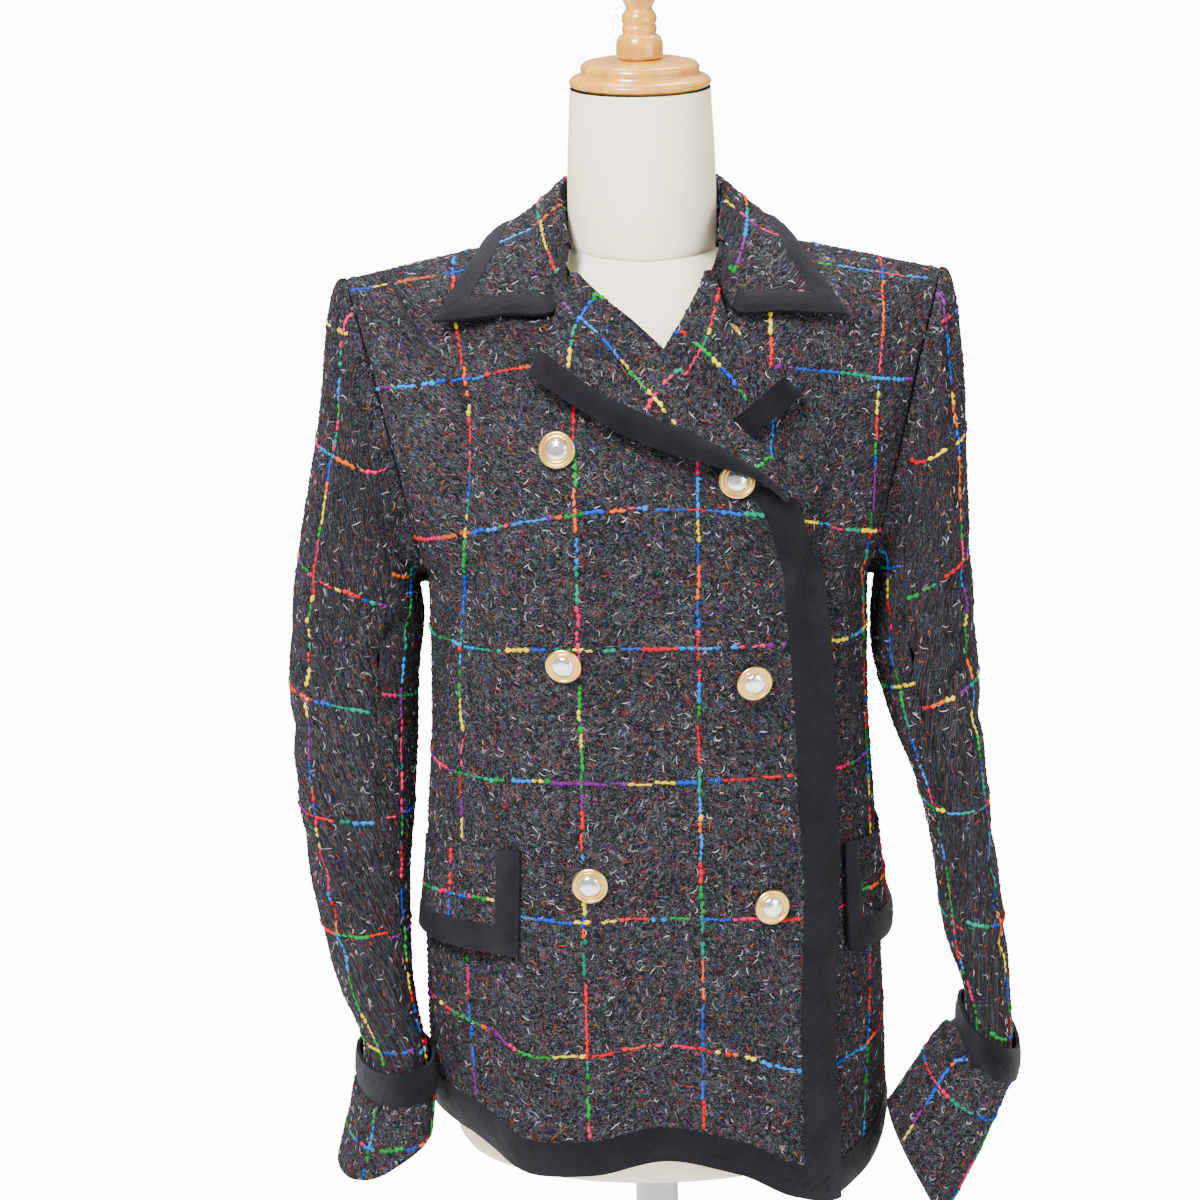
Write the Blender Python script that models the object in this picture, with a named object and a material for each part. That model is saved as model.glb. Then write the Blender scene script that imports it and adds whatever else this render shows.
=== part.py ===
"""Double-breasted tweed jacket on a limbless dress form with a turned neck cap and a round foot.

Millimetres in every table and function, metres in the mesh. +Z is up, the front faces -Y and the wearer's
right is -X. The coat body is one surface: rows cross it from the hem (0) to the shoulder seam (1), and a turn
says where on the row, 0 at centre front, 90 at a side and 180 at centre back. Panels are parts of it, and
trim, flaps, lapels and buttons are placed on its points, moved out. Sleeves and cuffs are rings between a
top line and an under line.
"""

import math
from types import SimpleNamespace

import bmesh
import bpy
import numpy as np

MM = 0.001
UP = np.array([0.0, 0.0, 1.0])

# ---- cloth and clearances
WALL = 2.0  # tweed with its interlining
TRIM = 1.2  # plain binding over the tweed
GAP = 0.35  # between pieces that are sewn together
TRIM_GAP = 0.6  # between a binding and the cloth it lies on
HEM_TRIM = 26.0  # visible width of the binding on the hem and front edge
LAPEL_TRIM = 16.0
COLLAR_TRIM = 16.0
CUFF_TRIM = 24.0
FLAP_TRIM = 20.0

# ---- the coat body's landmarks
ARMPIT = 0.63  # row of the armpit: rows above it end at the armhole
ARMHOLE_TURN = 72.0  # where those rows end; below the armpit they end at 90
BACK_NECK_ROW = 0.962
NECK_X = 62.0  # neck point of the shoulder seam
UNDERLAP_X = -92.0  # edge of the left front, under the right one
UNDERLAP_LIFT = 5.8  # the right front lies this far outside the left one
LAPEL_LIFT = 7.0  # and this much further where it crosses the left lapel


class Table:
    """Named columns, a row for each section, and the smooth curves through them that never overshoot."""

    def __init__(self, columns, *rows):
        self.names = columns.split()
        self.rows = np.array(sorted(rows), float)
        self.knots = self.rows[:, 0]
        self.step = np.diff(self.knots)
        rise = np.diff(self.rows, axis=0) / self.step[:, None]
        both = rise[:-1] * rise[1:]
        total = np.where(both > 0, rise[:-1] + rise[1:], 1.0)
        inner = np.where(both > 0, 2 * both / total, 0.0)
        self.slopes = np.vstack([rise[:1], inner, rise[-1:]])

    def at(self, key):
        """Every column's value at the key."""
        key = np.asarray(key, float)
        i = np.clip(np.searchsorted(self.knots, key) - 1, 0, len(self.step) - 1)
        t = np.clip((key - self.knots[i]) / self.step[i], 0, 1)[..., None]
        width = self.step[i][..., None]
        low, high = self.rows[i], self.rows[i + 1]
        values = (2 * t**3 - 3 * t**2 + 1) * low + (3 * t**2 - 2 * t**3) * high
        values = values + width * ((t**3 - 2 * t**2 + t) * self.slopes[i] + (t**3 - t**2) * self.slopes[i + 1])
        return SimpleNamespace(**{name: values[..., k] for k, name in enumerate(self.names)})


def ease(t):
    """0 below 0, 1 above 1, and smooth between."""
    t = np.clip(t, 0.0, 1.0)
    return t * t * (3 - 2 * t)


def unit(v):
    """Vectors at length 1."""
    return v / np.maximum(np.linalg.norm(v, axis=-1, keepdims=True), 1e-9)


def stack(x, y, z):
    """Points from three coordinate arrays."""
    return np.stack(np.broadcast_arrays(x, y, z), axis=-1).astype(float)


# end_ is the row's outer end: the side seam, and the armhole above the armpit. bow is the exponent of the
# row's roundness in plan, and fall that of its drop towards its outer end.
FRONT = Table(
    "row centre_z centre_y end_x end_y end_z bow fall",
    (0.00, 190, -122, 168, 4, 190, 2.10, 2.0),
    (0.15, 290, -121, 169, 4, 290, 2.25, 2.0),
    (0.36, 430, -115, 165, 4, 430, 2.40, 2.0),
    (0.48, 510, -111, 160, 4, 508, 2.45, 2.0),
    (0.57, 570, -116, 159, 3, 565, 2.40, 2.0),
    (0.63, 620, -123, 159, 0, 608, 2.35, 2.0),
    (0.69, 668, -127, 163, -34, 633, 2.30, 1.9),
    (0.76, 718, -123, 172, -45, 680, 2.30, 1.8),
    (0.83, 765, -111, 183, -44, 728, 2.25, 1.7),
    (0.89, 806, -92, 194, -36, 776, 2.20, 1.5),
    (0.95, 848, -54, 206, -17, 816, 2.20, 1.3),
    (1.00, 878, 8, 211, 5, 832, 2.20, 0.85),
)
BACK = Table(
    "row centre_z centre_y end_x end_y end_z bow fall",
    (0.00, 190, 124, 168, 4, 190, 2.20, 2.0),
    (0.15, 290, 120, 169, 4, 290, 2.25, 2.0),
    (0.36, 430, 102, 165, 4, 430, 2.30, 2.0),
    (0.48, 510, 88, 160, 4, 508, 2.35, 2.0),
    (0.57, 570, 91, 159, 3, 565, 2.40, 2.0),
    (0.63, 620, 98, 159, 0, 608, 2.40, 2.0),
    (0.69, 668, 104, 163, 30, 633, 2.35, 1.9),
    (0.76, 718, 107, 172, 46, 680, 2.30, 1.8),
    (0.83, 765, 105, 183, 52, 728, 2.25, 1.7),
    (0.89, 808, 96, 194, 46, 776, 2.20, 1.5),
    (0.95, 850, 76, 206, 28, 816, 2.20, 1.3),
    (0.975, 862, 60, 209, 17, 826, 2.20, 1.1),
    (1.00, 878, 8, 211, 5, 832, 2.20, 0.85),
)
# the hem's rise above the row, and how far its soft waves move out, by turn
HEM = Table(
    "turn rise out",
    (-180, -14, 0),
    (-140, -6, 5),
    (-105, 8, -2),
    (-90, 18, 0),
    (-70, 21, 0),
    (-55, 20, 2),
    (-43, 13, 5),
    (-30, 2, 6),
    (-16, 4, 2),
    (2, 12, -8),
    (20, 0, -2),
    (34, -22, 5),
    (48, -34, 4),
    (64, -32, -1),
    (82, -22, 2),
    (100, -14, 10),
    (125, -12, 16),
    (150, -13, 3),
    (180, -14, 0),
)
HEM_REACH = 0.42  # the row where the hem's waves have died out
BACK_NECK = Table("row x", (0, 0), (BACK_NECK_ROW, 0), (0.982, 47), (1.0, NECK_X))
BUST = SimpleNamespace(x=78.0, row=0.69, out=7.0, wide=48.0, tall=0.075)
# the right front's edge and, above the break, its roll line, by height
RIGHT_EDGE = Table(
    "z x",
    (140, 124),
    (283, 125),
    (400, 130),
    (475, 127),
    (580, 122),
    (628, 118),
    (664, 109),
    (680, 102),
    (698, 91),
    (720, 79),
    (743, 57),
    (772, 29),
    (799, 1),
    (828, -35),
    (849, -55),
    (866, -62),
)
LEFT_EDGE = Table(
    "z x",
    (140, UNDERLAP_X),
    (600, UNDERLAP_X),
    (670, -78),
    (726, -38),
    (765, -6),
    (794, 14),
    (828, 38),
    (849, 50),
    (866, 62),
)


def end_turn(row):
    """Where a row ends: at the side seam, or at the armhole."""
    return 90 - (90 - ARMHOLE_TURN) * ease((np.asarray(row, float) - ARMPIT) / 0.06)


def half_body(table, across, row):
    """Half of the body surface: across is the sine of the turn from the centre line."""
    t = table.at(row)
    end = np.sin(np.radians(end_turn(row)))

    def bow_of(a):
        return np.maximum(0.0, 1 - np.minimum(np.abs(a), 1.0) ** t.bow) ** (1 / t.bow)

    end_bow = bow_of(np.where(end > 0.9999, 1.0, end))
    far_y = (t.end_y - t.centre_y * end_bow) / (1 - end_bow)
    far_z = (t.end_z - t.centre_z) / end**t.fall
    x = t.end_x * across / end
    y = far_y + (t.centre_y - far_y) * bow_of(across)
    z = t.centre_z + far_z * np.abs(across) ** t.fall
    return x, y, z


def plain_body(turn, row):
    """The body surface without the hem's waves."""
    turn, row = np.broadcast_arrays((np.asarray(turn, float) + 180) % 360 - 180, np.asarray(row, float))
    across = np.sin(np.radians(turn))
    in_front = np.abs(turn) <= 90
    fx, fy, fz = half_body(FRONT, across, row)
    bx, by, bz = half_body(BACK, across, row)
    bust = ((np.abs(fx) - BUST.x) / BUST.wide) ** 2 + ((row - BUST.row) / BUST.tall) ** 2
    fy = fy - BUST.out * np.exp(-bust)
    return stack(np.where(in_front, fx, bx), np.where(in_front, fy, by), np.where(in_front, fz, bz))


def body(turn, row):
    """The outer face of the coat body."""
    point = plain_body(turn, row)
    turn = (np.asarray(turn, float) + 180) % 360 - 180
    hem = HEM.at(turn)
    near = 1 - ease(np.asarray(row, float) / HEM_REACH)
    outward = unit(point * np.array([1 / 170, 1 / 123, 0.0]))
    point = point + (hem.out * near**1.5)[..., None] * outward
    return point + (hem.rise * near)[..., None] * UP


def body_normal(turn, row, surface=plain_body):
    """Outward unit normals."""
    turn, row = np.broadcast_arrays(np.asarray(turn, float), np.asarray(row, float))
    in_front = np.abs((turn + 180) % 360 - 180) <= 90
    low_turn, high_turn = turn - 0.7, turn + 0.7
    low_turn = np.where(in_front, np.clip(low_turn, -90, 90), low_turn)
    high_turn = np.where(in_front, np.clip(high_turn, -90, 90), high_turn)
    across = surface(high_turn, row) - surface(low_turn, row)
    up = surface(turn, np.minimum(row + 0.004, 1)) - surface(turn, np.maximum(row - 0.004, 0))
    return unit(np.cross(across, up))


def turn_at(x, row):
    """The turn of the front point with this x."""
    return np.degrees(np.arcsin(np.clip(x / FRONT.at(row).end_x * np.sin(np.radians(end_turn(row))), -1, 1)))


def halved(low, high, is_low):
    """Where is_low changes from true to false, by halving."""
    low, high = (np.array(a, float) for a in np.broadcast_arrays(low, high))
    for _ in range(30):
        middle = (low + high) / 2
        below = is_low(middle)
        low, high = np.where(below, middle, low), np.where(below, high, middle)
    return (low + high) / 2


def front_place(x, z):
    """(turn, row) of the front point seen at x and z."""
    x, z = np.broadcast_arrays(np.asarray(x, float), np.asarray(z, float))
    row = halved(np.zeros(x.shape), 1, lambda r: body(turn_at(x, r), r)[..., 2] < z)
    return turn_at(x, row), row


def edge_turn(table, row, side):
    """The turn where a row meets a front's edge; side is that of the front's side seam."""
    row = np.asarray(row, float)

    def inside(x):
        point = body(turn_at(x, row), row)
        return side * (x - table.at(point[..., 2]).x) > 0

    x = halved(side * 140.0, -side * 140.0 + np.zeros(row.shape), inside)
    return turn_at(x, row)


def lift(turn, row):
    """How far outside the body surface the right front lies, over the left front and its lapel."""
    point = body(turn, row)
    x, z = point[..., 0], point[..., 2]
    over_front = ease((x - UNDERLAP_X + 34) / 26)
    over_lapel = ease((x + 82) / 30) * ease((z - 655) / 35)
    below_neck = 1 - ease((z - 802) / 44)
    return (UNDERLAP_LIFT * over_front + LAPEL_LIFT * over_lapel) * below_neck


def right_front(turn, row, out=0.0):
    """The right front's outer face, moved out."""
    far = lift(turn, row) + np.asarray(out, float)
    return body(turn, row) + far[..., None] * body_normal(turn, row)


def left_front(turn, row, out=0.0):
    """The left front's outer face, moved out; the back panels use it too."""
    turn, row, out = np.broadcast_arrays(turn, row, out)
    return body(turn, row) + out[..., None] * body_normal(turn, row)


# ---- meshes -------------------------------------------------------------------------------------------


def material(name, colour, roughness, metallic=0.0):
    """A Principled BSDF of one colour."""
    made = bpy.data.materials.new(name)
    made.use_nodes = True
    surface = made.node_tree.nodes["Principled BSDF"]
    surface.inputs["Base Color"].default_value = (*colour, 1.0)
    surface.inputs["Roughness"].default_value = roughness
    surface.inputs["Metallic"].default_value = metallic
    return made


def add_object(name, points, faces, finish):
    """One closed mesh object: doubled points are joined and faces turned outwards."""
    mesh = bpy.data.meshes.new(name)
    work = bmesh.new()
    verts = [work.verts.new([c * MM for c in p]) for p in points]
    for face in faces:
        work.faces.new([verts[i] for i in face])
    bmesh.ops.remove_doubles(work, verts=work.verts, dist=0.01 * MM)
    bmesh.ops.recalc_face_normals(work, faces=work.faces)
    bmesh.ops.triangulate(work, faces=work.faces)
    work.to_mesh(mesh)
    work.free()
    mesh.shade_smooth()
    mesh.set_sharp_from_angle(angle=math.radians(40))
    mesh.materials.append(finish)
    made = bpy.data.objects.new(name, mesh)
    bpy.context.scene.collection.objects.link(made)
    return made


def grid_normals(grid, around=False, level=()):
    """Unit normals of a grid of points, across its columns and then its rows. around joins the last column
    to the first. level clears one axis at an edge, so that a seam stays flat."""
    if around:
        across = np.roll(grid, -1, axis=1) - np.roll(grid, 1, axis=1)
    else:
        across = np.gradient(grid, axis=1)
    normals = np.cross(across, np.gradient(grid, axis=0))
    for rows, columns, axis in level:
        normals[rows, columns, axis] = 0.0
    return unit(normals)


def wall(name, grid, finish, inward, normals=None, around=False, level=()):
    """A cloth wall. The grid is its outer face and inward is the sign from its normals to its inner face."""
    rows, columns = grid.shape[:2]
    if normals is None:
        normals = grid_normals(grid, around, level)
    inner = grid + inward * WALL * normals
    points = np.concatenate([grid.reshape(-1, 3), inner.reshape(-1, 3)])
    layer = rows * columns
    spans = columns if around else columns - 1
    faces = []
    for r in range(rows - 1):
        for c in range(spans):
            a, b = r * columns + c, r * columns + (c + 1) % columns
            faces.append((a, b, b + columns, a + columns))
            faces.append((layer + a, layer + a + columns, layer + b + columns, layer + b))
    for r in (0, rows - 1):
        for c in range(spans):
            a, b = r * columns + c, r * columns + (c + 1) % columns
            faces.append((a, b, layer + b, layer + a))
    if not around:
        for c in (0, columns - 1):
            for r in range(rows - 1):
                a, b = r * columns + c, (r + 1) * columns + c
                faces.append((a, b, layer + b, layer + a))
    return add_object(name, points, faces, finish)


def sweep(name, sections, finish, around=False):
    """A solid through sections with the same number of points, capped at its ends or closed into a ring."""
    count, total = len(sections[0]), len(sections)
    points = [p for section in sections for p in section]
    faces = []
    for s in range(total if around else total - 1):
        first, second = s * count, (s + 1) % total * count
        for c in range(count):
            d = (c + 1) % count
            faces.append((first + c, first + d, second + d, second + c))
    if not around:
        faces.append(tuple(range(count)))
        faces.append(tuple(range((total - 1) * count, total * count)))
    return add_object(name, points, faces, finish)


def binding(name, inner, edge, normals, finish, around=False, corners=()):
    """A binding on a cloth's outer face from the inner line to its edge line, wrapped over the edge. normals
    are those of the two lines, and corners are the stations where it is mitred."""
    out = unit(edge - inner)
    stretch = np.ones(len(edge))
    stretch[list(corners)] = 1.42
    sections = []
    for p, e, m, n, o, far in zip(inner, edge, *normals, out, stretch):
        near, beyond = e + GAP * far * o, e + (GAP + TRIM) * far * o
        low = [p + TRIM_GAP * m, near + TRIM_GAP * n, near - WALL * n]
        high = [beyond - WALL * n, beyond + (TRIM_GAP + TRIM) * n, p + (TRIM_GAP + TRIM) * m]
        sections.append(low + high)
    return sweep(name, sections, finish, around)


def bind_grid(name, grid, normal, stations, finish):
    """A binding along a grid's edges. Each station is the row and column of its inner and its edge point, and
    a corner is mitred where both change."""
    inner_row, inner_column, edge_row, edge_column = np.array(stations).T
    corners = np.flatnonzero((inner_row != edge_row) & (inner_column != edge_column))
    inner, edge = grid[inner_row, inner_column], grid[edge_row, edge_column]
    normals = (normal[inner_row, inner_column], normal[edge_row, edge_column])
    return binding(name, inner, edge, normals, finish, corners=corners)


def turned(name, profile, finish, sides=24, place=(0, 0, 0), axis=(0, 0, 1)):
    """A turned solid from (radius, height) pairs, bottom to top, about an axis through a place."""
    place, axis = np.array(place, float), unit(np.array(axis, float))
    side = unit(np.cross(axis, (0, 0, 1) if abs(axis[2]) < 0.9 else (0, -1, 0)))
    other = np.cross(axis, side)
    angles = np.arange(sides) * 2 * math.pi / sides
    points, rings, faces = [], [], []
    for radius, height in profile:
        start = len(points)
        count = 1 if radius == 0 else sides
        for a in angles[:count]:
            points.append(place + height * axis + radius * (math.cos(a) * side + math.sin(a) * other))
        rings.append([start + k % count for k in range(sides)])
    for low, high in zip(rings, rings[1:]):
        for k in range(sides):
            m = (k + 1) % sides
            faces.append(tuple(dict.fromkeys((low[k], low[m], high[m], high[k]))))
    return add_object(name, points, faces, finish)


# ---- coat body ----------------------------------------------------------------------------------------

TRIM_ROW = 0.039  # the hem binding's upper line
ROWS = np.array([0, TRIM_ROW, 0.10, 0.17, 0.24, 0.31, 0.38, 0.45, 0.51, 0.57, ARMPIT, 0.66])
ROWS = np.concatenate([ROWS, [0.70, 0.735, 0.775, 0.82, 0.86, 0.90, 0.93, BACK_NECK_ROW, 0.982, 1.0]])
FRONT_COLUMNS = 15
BACK_COLUMNS = 10
SEAM_SHIFT = GAP / 2
BREAK_Z = 698.0  # where the right lapel turns back


def front_turns(table, side):
    """Turns of a front's grid: its edge, the binding's inner line, then evenly to its side."""
    edge = edge_turn(table, ROWS, side)
    edge_x = body(edge, ROWS)[..., 0]
    binding_line = turn_at(edge_x + side * HEM_TRIM, ROWS)
    share = np.linspace(0, 1, FRONT_COLUMNS - 1)[None, :]
    rest = binding_line[:, None] * (1 - share) + (side * end_turn(ROWS))[:, None] * share
    return np.concatenate([edge[:, None], rest], axis=1)


def part_seams(grid, towards):
    """Moves a panel's side seam and shoulder seam half a gap to its own side of them."""
    armpit = int(np.argmax(ROWS >= ARMPIT))
    grid[: armpit + 1, -1, 1] += towards * SEAM_SHIFT
    grid[-1, :, 1] += towards * SEAM_SHIFT
    return [(slice(0, armpit + 1), -1, 1), (-1, slice(None), 1)]


def build_front(name, surface, table, side, tweed):
    """A front. Gives its grid and outward normals, for its binding."""
    grid = surface(front_turns(table, side), ROWS[:, None])
    level = part_seams(grid, -1)
    wall(name, grid, tweed, inward=-side, level=level)
    return grid, side * grid_normals(grid, level=level)


def back_turns(side):
    """Turns of a back panel's grid, from the centre back seam or the neckline to its side."""
    neck_x = np.where(ROWS > BACK_NECK_ROW, BACK_NECK.at(ROWS).x, 0)
    start = np.degrees(np.arcsin(neck_x / BACK.at(ROWS).end_x * np.sin(np.radians(end_turn(ROWS)))))
    share = np.linspace(0, 1, BACK_COLUMNS)[None, :]
    turn = 180 - (start[:, None] * (1 - share) + end_turn(ROWS)[:, None] * share)
    return side * np.clip(turn, 90.001, 179.999)


def build_back(name, side, tweed):
    """A back panel. Gives its grid and outward normals, for its binding."""
    grid = left_front(back_turns(side), ROWS[:, None])
    level = part_seams(grid, 1)
    seam_rows = slice(0, int(np.argmax(ROWS > BACK_NECK_ROW)))
    grid[seam_rows, 0, 0] += side * SEAM_SHIFT
    level.append((seam_rows, 0, 0))
    wall(name, grid, tweed, inward=side, level=level)
    return grid, -side * grid_normals(grid, level=level)


def bind_hem(name, grid, normal, trim):
    """The binding of a panel's hem."""
    stations = [(1, c, 0, c) for c in range(grid.shape[1])]
    bind_grid(name, grid, normal, stations, trim)


def bind_front(name, grid, normal, edge_rows, trim):
    """The binding of a front's edge and hem in one strip, mitred at the corner."""
    down = [(r, 1, r, 0) for r in range(edge_rows, 0, -1)]
    along_hem = [(1, c, 0, c) for c in range(1, grid.shape[1])]
    bind_grid(name, grid, normal, down + [(1, 1, 0, 0)] + along_hem, trim)


def build_body(tweed, trim):
    """Fronts, backs and their bindings."""
    right = build_front("front_right", right_front, RIGHT_EDGE, -1, tweed)
    edge_rows = int(np.sum(right[0][:, 0, 2] < BREAK_Z)) - 1
    bind_front("edge_binding_right", *right, edge_rows, trim)
    bind_hem("hem_binding_left", *build_front("front_left", left_front, LEFT_EDGE, 1, tweed), trim)
    for name, side in (("right", -1), ("left", 1)):
        bind_hem("hem_binding_back_" + name, *build_back("back_" + name, side, tweed), trim)


# ---- sleeves and cuffs --------------------------------------------------------------------------------
# along runs from the armhole (0) to the cuff's lower edge (1). top and under are the ring's outer and inner
# points, y its middle, ahead and behind its half depths, and swing turns it about the vertical in degrees.
RIGHT_SLEEVE = Table(
    "along top_x top_z under_x under_z y ahead behind swing",
    (0.00, 211, 832, 160, 608, 5, 46, 50, 0),
    (0.05, 221, 819, 161, 602, 4, 50, 54, 0),
    (0.12, 228, 788, 162, 594, 3, 52, 56, 0),
    (0.20, 232, 748, 163, 580, 2, 54, 56, 0),
    (0.32, 244, 680, 166, 558, 1, 54, 54, 0),
    (0.42, 257, 610, 169, 530, -1, 53, 52, 0),
    (0.52, 263, 530, 170, 498, -4, 52, 50, 0),
    (0.62, 260, 450, 174, 440, -10, 50, 47, 3),
    (0.70, 252, 385, 179, 390, -17, 47, 45, 6),
    (0.79, 236, 312, 180, 325, -26, 46, 44, 10),
    (0.87, 215, 252, 172, 262, -36, 45, 42, 14),
    (0.93, 222, 212, 170, 240, -42, 47, 44, 14),
    (1.00, 235, 168, 171, 212, -48, 50, 46, 14),
)
LEFT_SLEEVE = Table(
    "along top_x top_z under_x under_z y ahead behind swing",
    (0.00, 211, 832, 160, 608, 5, 46, 50, 0),
    (0.05, 220, 819, 161, 602, 4, 50, 54, 0),
    (0.12, 226, 788, 162, 592, 3, 52, 56, 0),
    (0.20, 229, 748, 162, 575, 2, 54, 56, 0),
    (0.32, 231, 685, 163, 550, 1, 56, 56, 0),
    (0.42, 235, 615, 169, 525, -1, 57, 56, 0),
    (0.52, 240, 540, 178, 495, -4, 58, 55, 0),
    (0.62, 246, 465, 194, 455, -8, 58, 54, 0),
    (0.70, 254, 395, 206, 405, -14, 56, 52, 0),
    (0.79, 262, 325, 214, 345, -20, 53, 50, 0),
    (0.87, 265, 256, 232, 280, -26, 48, 46, 0),
    (0.93, 246, 192, 208, 246, -30, 48, 46, 0),
    (1.00, 214, 122, 175, 200, -34, 50, 46, 0),
)
SLEEVE_STATIONS = np.array([0, 0.03, 0.08, 0.15, 0.24, 0.33, 0.42, 0.50, 0.57, 0.64, 0.71, 0.79, 0.87, 0.93, 1])
ARMHOLE_BLEND = 0.22  # by here the armhole's shape has become the sleeve's own
SHOULDER_X = 211.0  # the shoulder's outer end
HEAD_REACH = 0.6  # how much of the sleeve head's reach past the shoulder the armhole's shape takes
RING_BOW = 2.3
SEAM_ANGLE = 112.0  # the sleeve's seams, from its top
TOP_ANGLES = np.linspace(-SEAM_ANGLE, SEAM_ANGLE, 13)
UNDER_ANGLES = np.linspace(SEAM_ANGLE, 360 - SEAM_ANGLE, 8)
CUFF_TOP = 0.87
CUFF_CLEAR = (3.4, 0.7)  # the cuff's inner face off the sleeve, at its top and at its lower edge


def armhole(angle, side):
    """The armhole loop: angle 0 is the shoulder seam, 90 the front, 180 the armpit, 270 the back."""
    angle = np.asarray(angle, float) % 360
    folded = np.where(angle <= 180, angle, 360 - angle)
    row = ARMPIT + (1 - ARMPIT) * (1 + np.cos(np.radians(folded))) / 2
    turn = np.where(angle <= 180, end_turn(row), 180 - end_turn(row))
    return left_front(side * np.clip(turn, 0.001, 179.999), row)


def sleeve(table, side, along, angle, out=0.0):
    """A point of the sleeve's outer face, moved out from its middle line."""
    along, angle, out = np.broadcast_arrays(*(np.asarray(a, float) for a in (along, angle, out)))
    t = table.at(along)
    top, under = stack(t.top_x, t.y, t.top_z), stack(t.under_x, t.y, t.under_z)
    half_width = np.linalg.norm(top - under, axis=-1) / 2
    outward = unit(top - under)
    swing = np.radians(t.swing)
    forward = stack(-np.sin(swing), -np.cos(swing), 0 * swing)
    turn = np.radians(angle)
    c, s = np.cos(turn), np.sin(turn)
    a = np.sign(c) * np.abs(c) ** (2 / RING_BOW) * (half_width + out)
    b = np.sign(s) * np.abs(s) ** (2 / RING_BOW) * (np.where(s > 0, t.ahead, t.behind) + out)
    ring = (top + under) / 2 + a[..., None] * outward + b[..., None] * forward
    ring[..., 0] *= side
    share = (1 - ease(along / ARMHOLE_BLEND))[..., None]
    past = HEAD_REACH * np.clip(top[..., :1] - SHOULDER_X, 0, None)
    loop = armhole(angle, side) + side * past * np.array([1.0, 0, 0])
    return ring * (1 - share) + loop * share


def sleeve_grid(table, side, stations, angles, out=0.0):
    """A grid of a sleeve or cuff and its normals, which two pieces share at a seam."""
    stations, angles = stations[:, None], angles[None, :]
    grid = sleeve(table, side, stations, angles, out)
    across = sleeve(table, side, stations, angles + 6, out) - sleeve(table, side, stations, angles - 6, out)
    low, high = np.maximum(stations - 0.02, 0), np.minimum(stations + 0.02, 1)
    down = sleeve(table, side, high, angles, out) - sleeve(table, side, low, angles, out)
    return grid, unit(np.cross(across, down))


def part_lengthwise(grid):
    """Draws a grid's first and last columns inwards by half a seam."""
    for edge, beside in ((0, 1), (-1, -2)):
        grid[:, edge] += SEAM_SHIFT * unit(grid[:, beside] - grid[:, edge])


def build_sleeve(name, table, side, tweed, trim):
    """Top sleeve, under sleeve, turned-back cuff and its binding."""
    for piece, angles in (("top", TOP_ANGLES), ("under", UNDER_ANGLES)):
        grid, normals = sleeve_grid(table, side, SLEEVE_STATIONS, angles)
        grid[0] += 0.8 * side * np.array([1.0, 0, 0]) + 0.3 * unit(grid[1] - grid[0])
        part_lengthwise(grid)
        wall(f"{piece}_sleeve_{name}", grid, tweed, inward=-side, normals=normals)
    stations = SLEEVE_STATIONS[SLEEVE_STATIONS >= CUFF_TOP]
    angles = np.concatenate([TOP_ANGLES, UNDER_ANGLES[1:-1]])
    grid, normals = sleeve_grid(table, side, stations, angles)
    opening = ((stations - CUFF_TOP) / (1 - CUFF_TOP))[:, None, None]
    clear = WALL + CUFF_CLEAR[0] + (CUFF_CLEAR[1] - CUFF_CLEAR[0]) * opening
    grid = grid + side * clear * normals
    down = grid[1] - grid[0]
    share = CUFF_TRIM / np.linalg.norm(down, axis=-1, keepdims=True)
    grid = np.insert(grid, 1, grid[0] + share * down, axis=0)
    normals = np.insert(normals, 1, unit(normals[0] * (1 - share) + normals[1] * share), axis=0)
    wall(f"cuff_{name}", grid, tweed, inward=-side, normals=normals, around=True)
    ends = (side * normals[1], side * normals[0])
    binding(f"cuff_binding_{name}", grid[1], grid[0], ends, trim, around=True)


# ---- lapels and collar --------------------------------------------------------------------------------

ROLL_RADIUS = 1.3  # inner radius of the lapel's turn
ROLL_ANGLES = (-90, -40, 10, 60)
# each row is a line across the lapel, from its roll to its outer edge through a middle point; rise is how far
# the cloth stands off the front at that edge
RIGHT_LAPEL = Table(
    "key roll_z middle_x middle_z edge_x edge_z rise",
    (0.00, 698, 88.5, 697, 87, 695.5, 5.0),
    (0.15, 718, 75, 714, 71, 710, 9.0),
    (0.32, 742, 49, 733, 40, 722.5, 11.0),
    (0.50, 768, 20, 752, 8, 733, 11.5),
    (0.68, 797, -15, 780, -24, 746.5, 11.0),
    (0.85, 826, -46, 802, -51, 763, 11.0),
    (1.00, 841, -60, 811, -76, 778, 11.5),
)
LEFT_LAPEL = Table(
    "key roll_z middle_x middle_z edge_x edge_z rise",
    (0.00, 726, -33, 725, -30, 724, 2.8),
    (0.25, 752, 5, 738, 18, 722, 3.4),
    (0.50, 784, 42, 764, 62, 735, 3.4),
    (0.75, 814, 52, 792, 84, 749, 5.0),
    (1.00, 841, 56, 809, 102, 763, 10.0),
)


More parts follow.
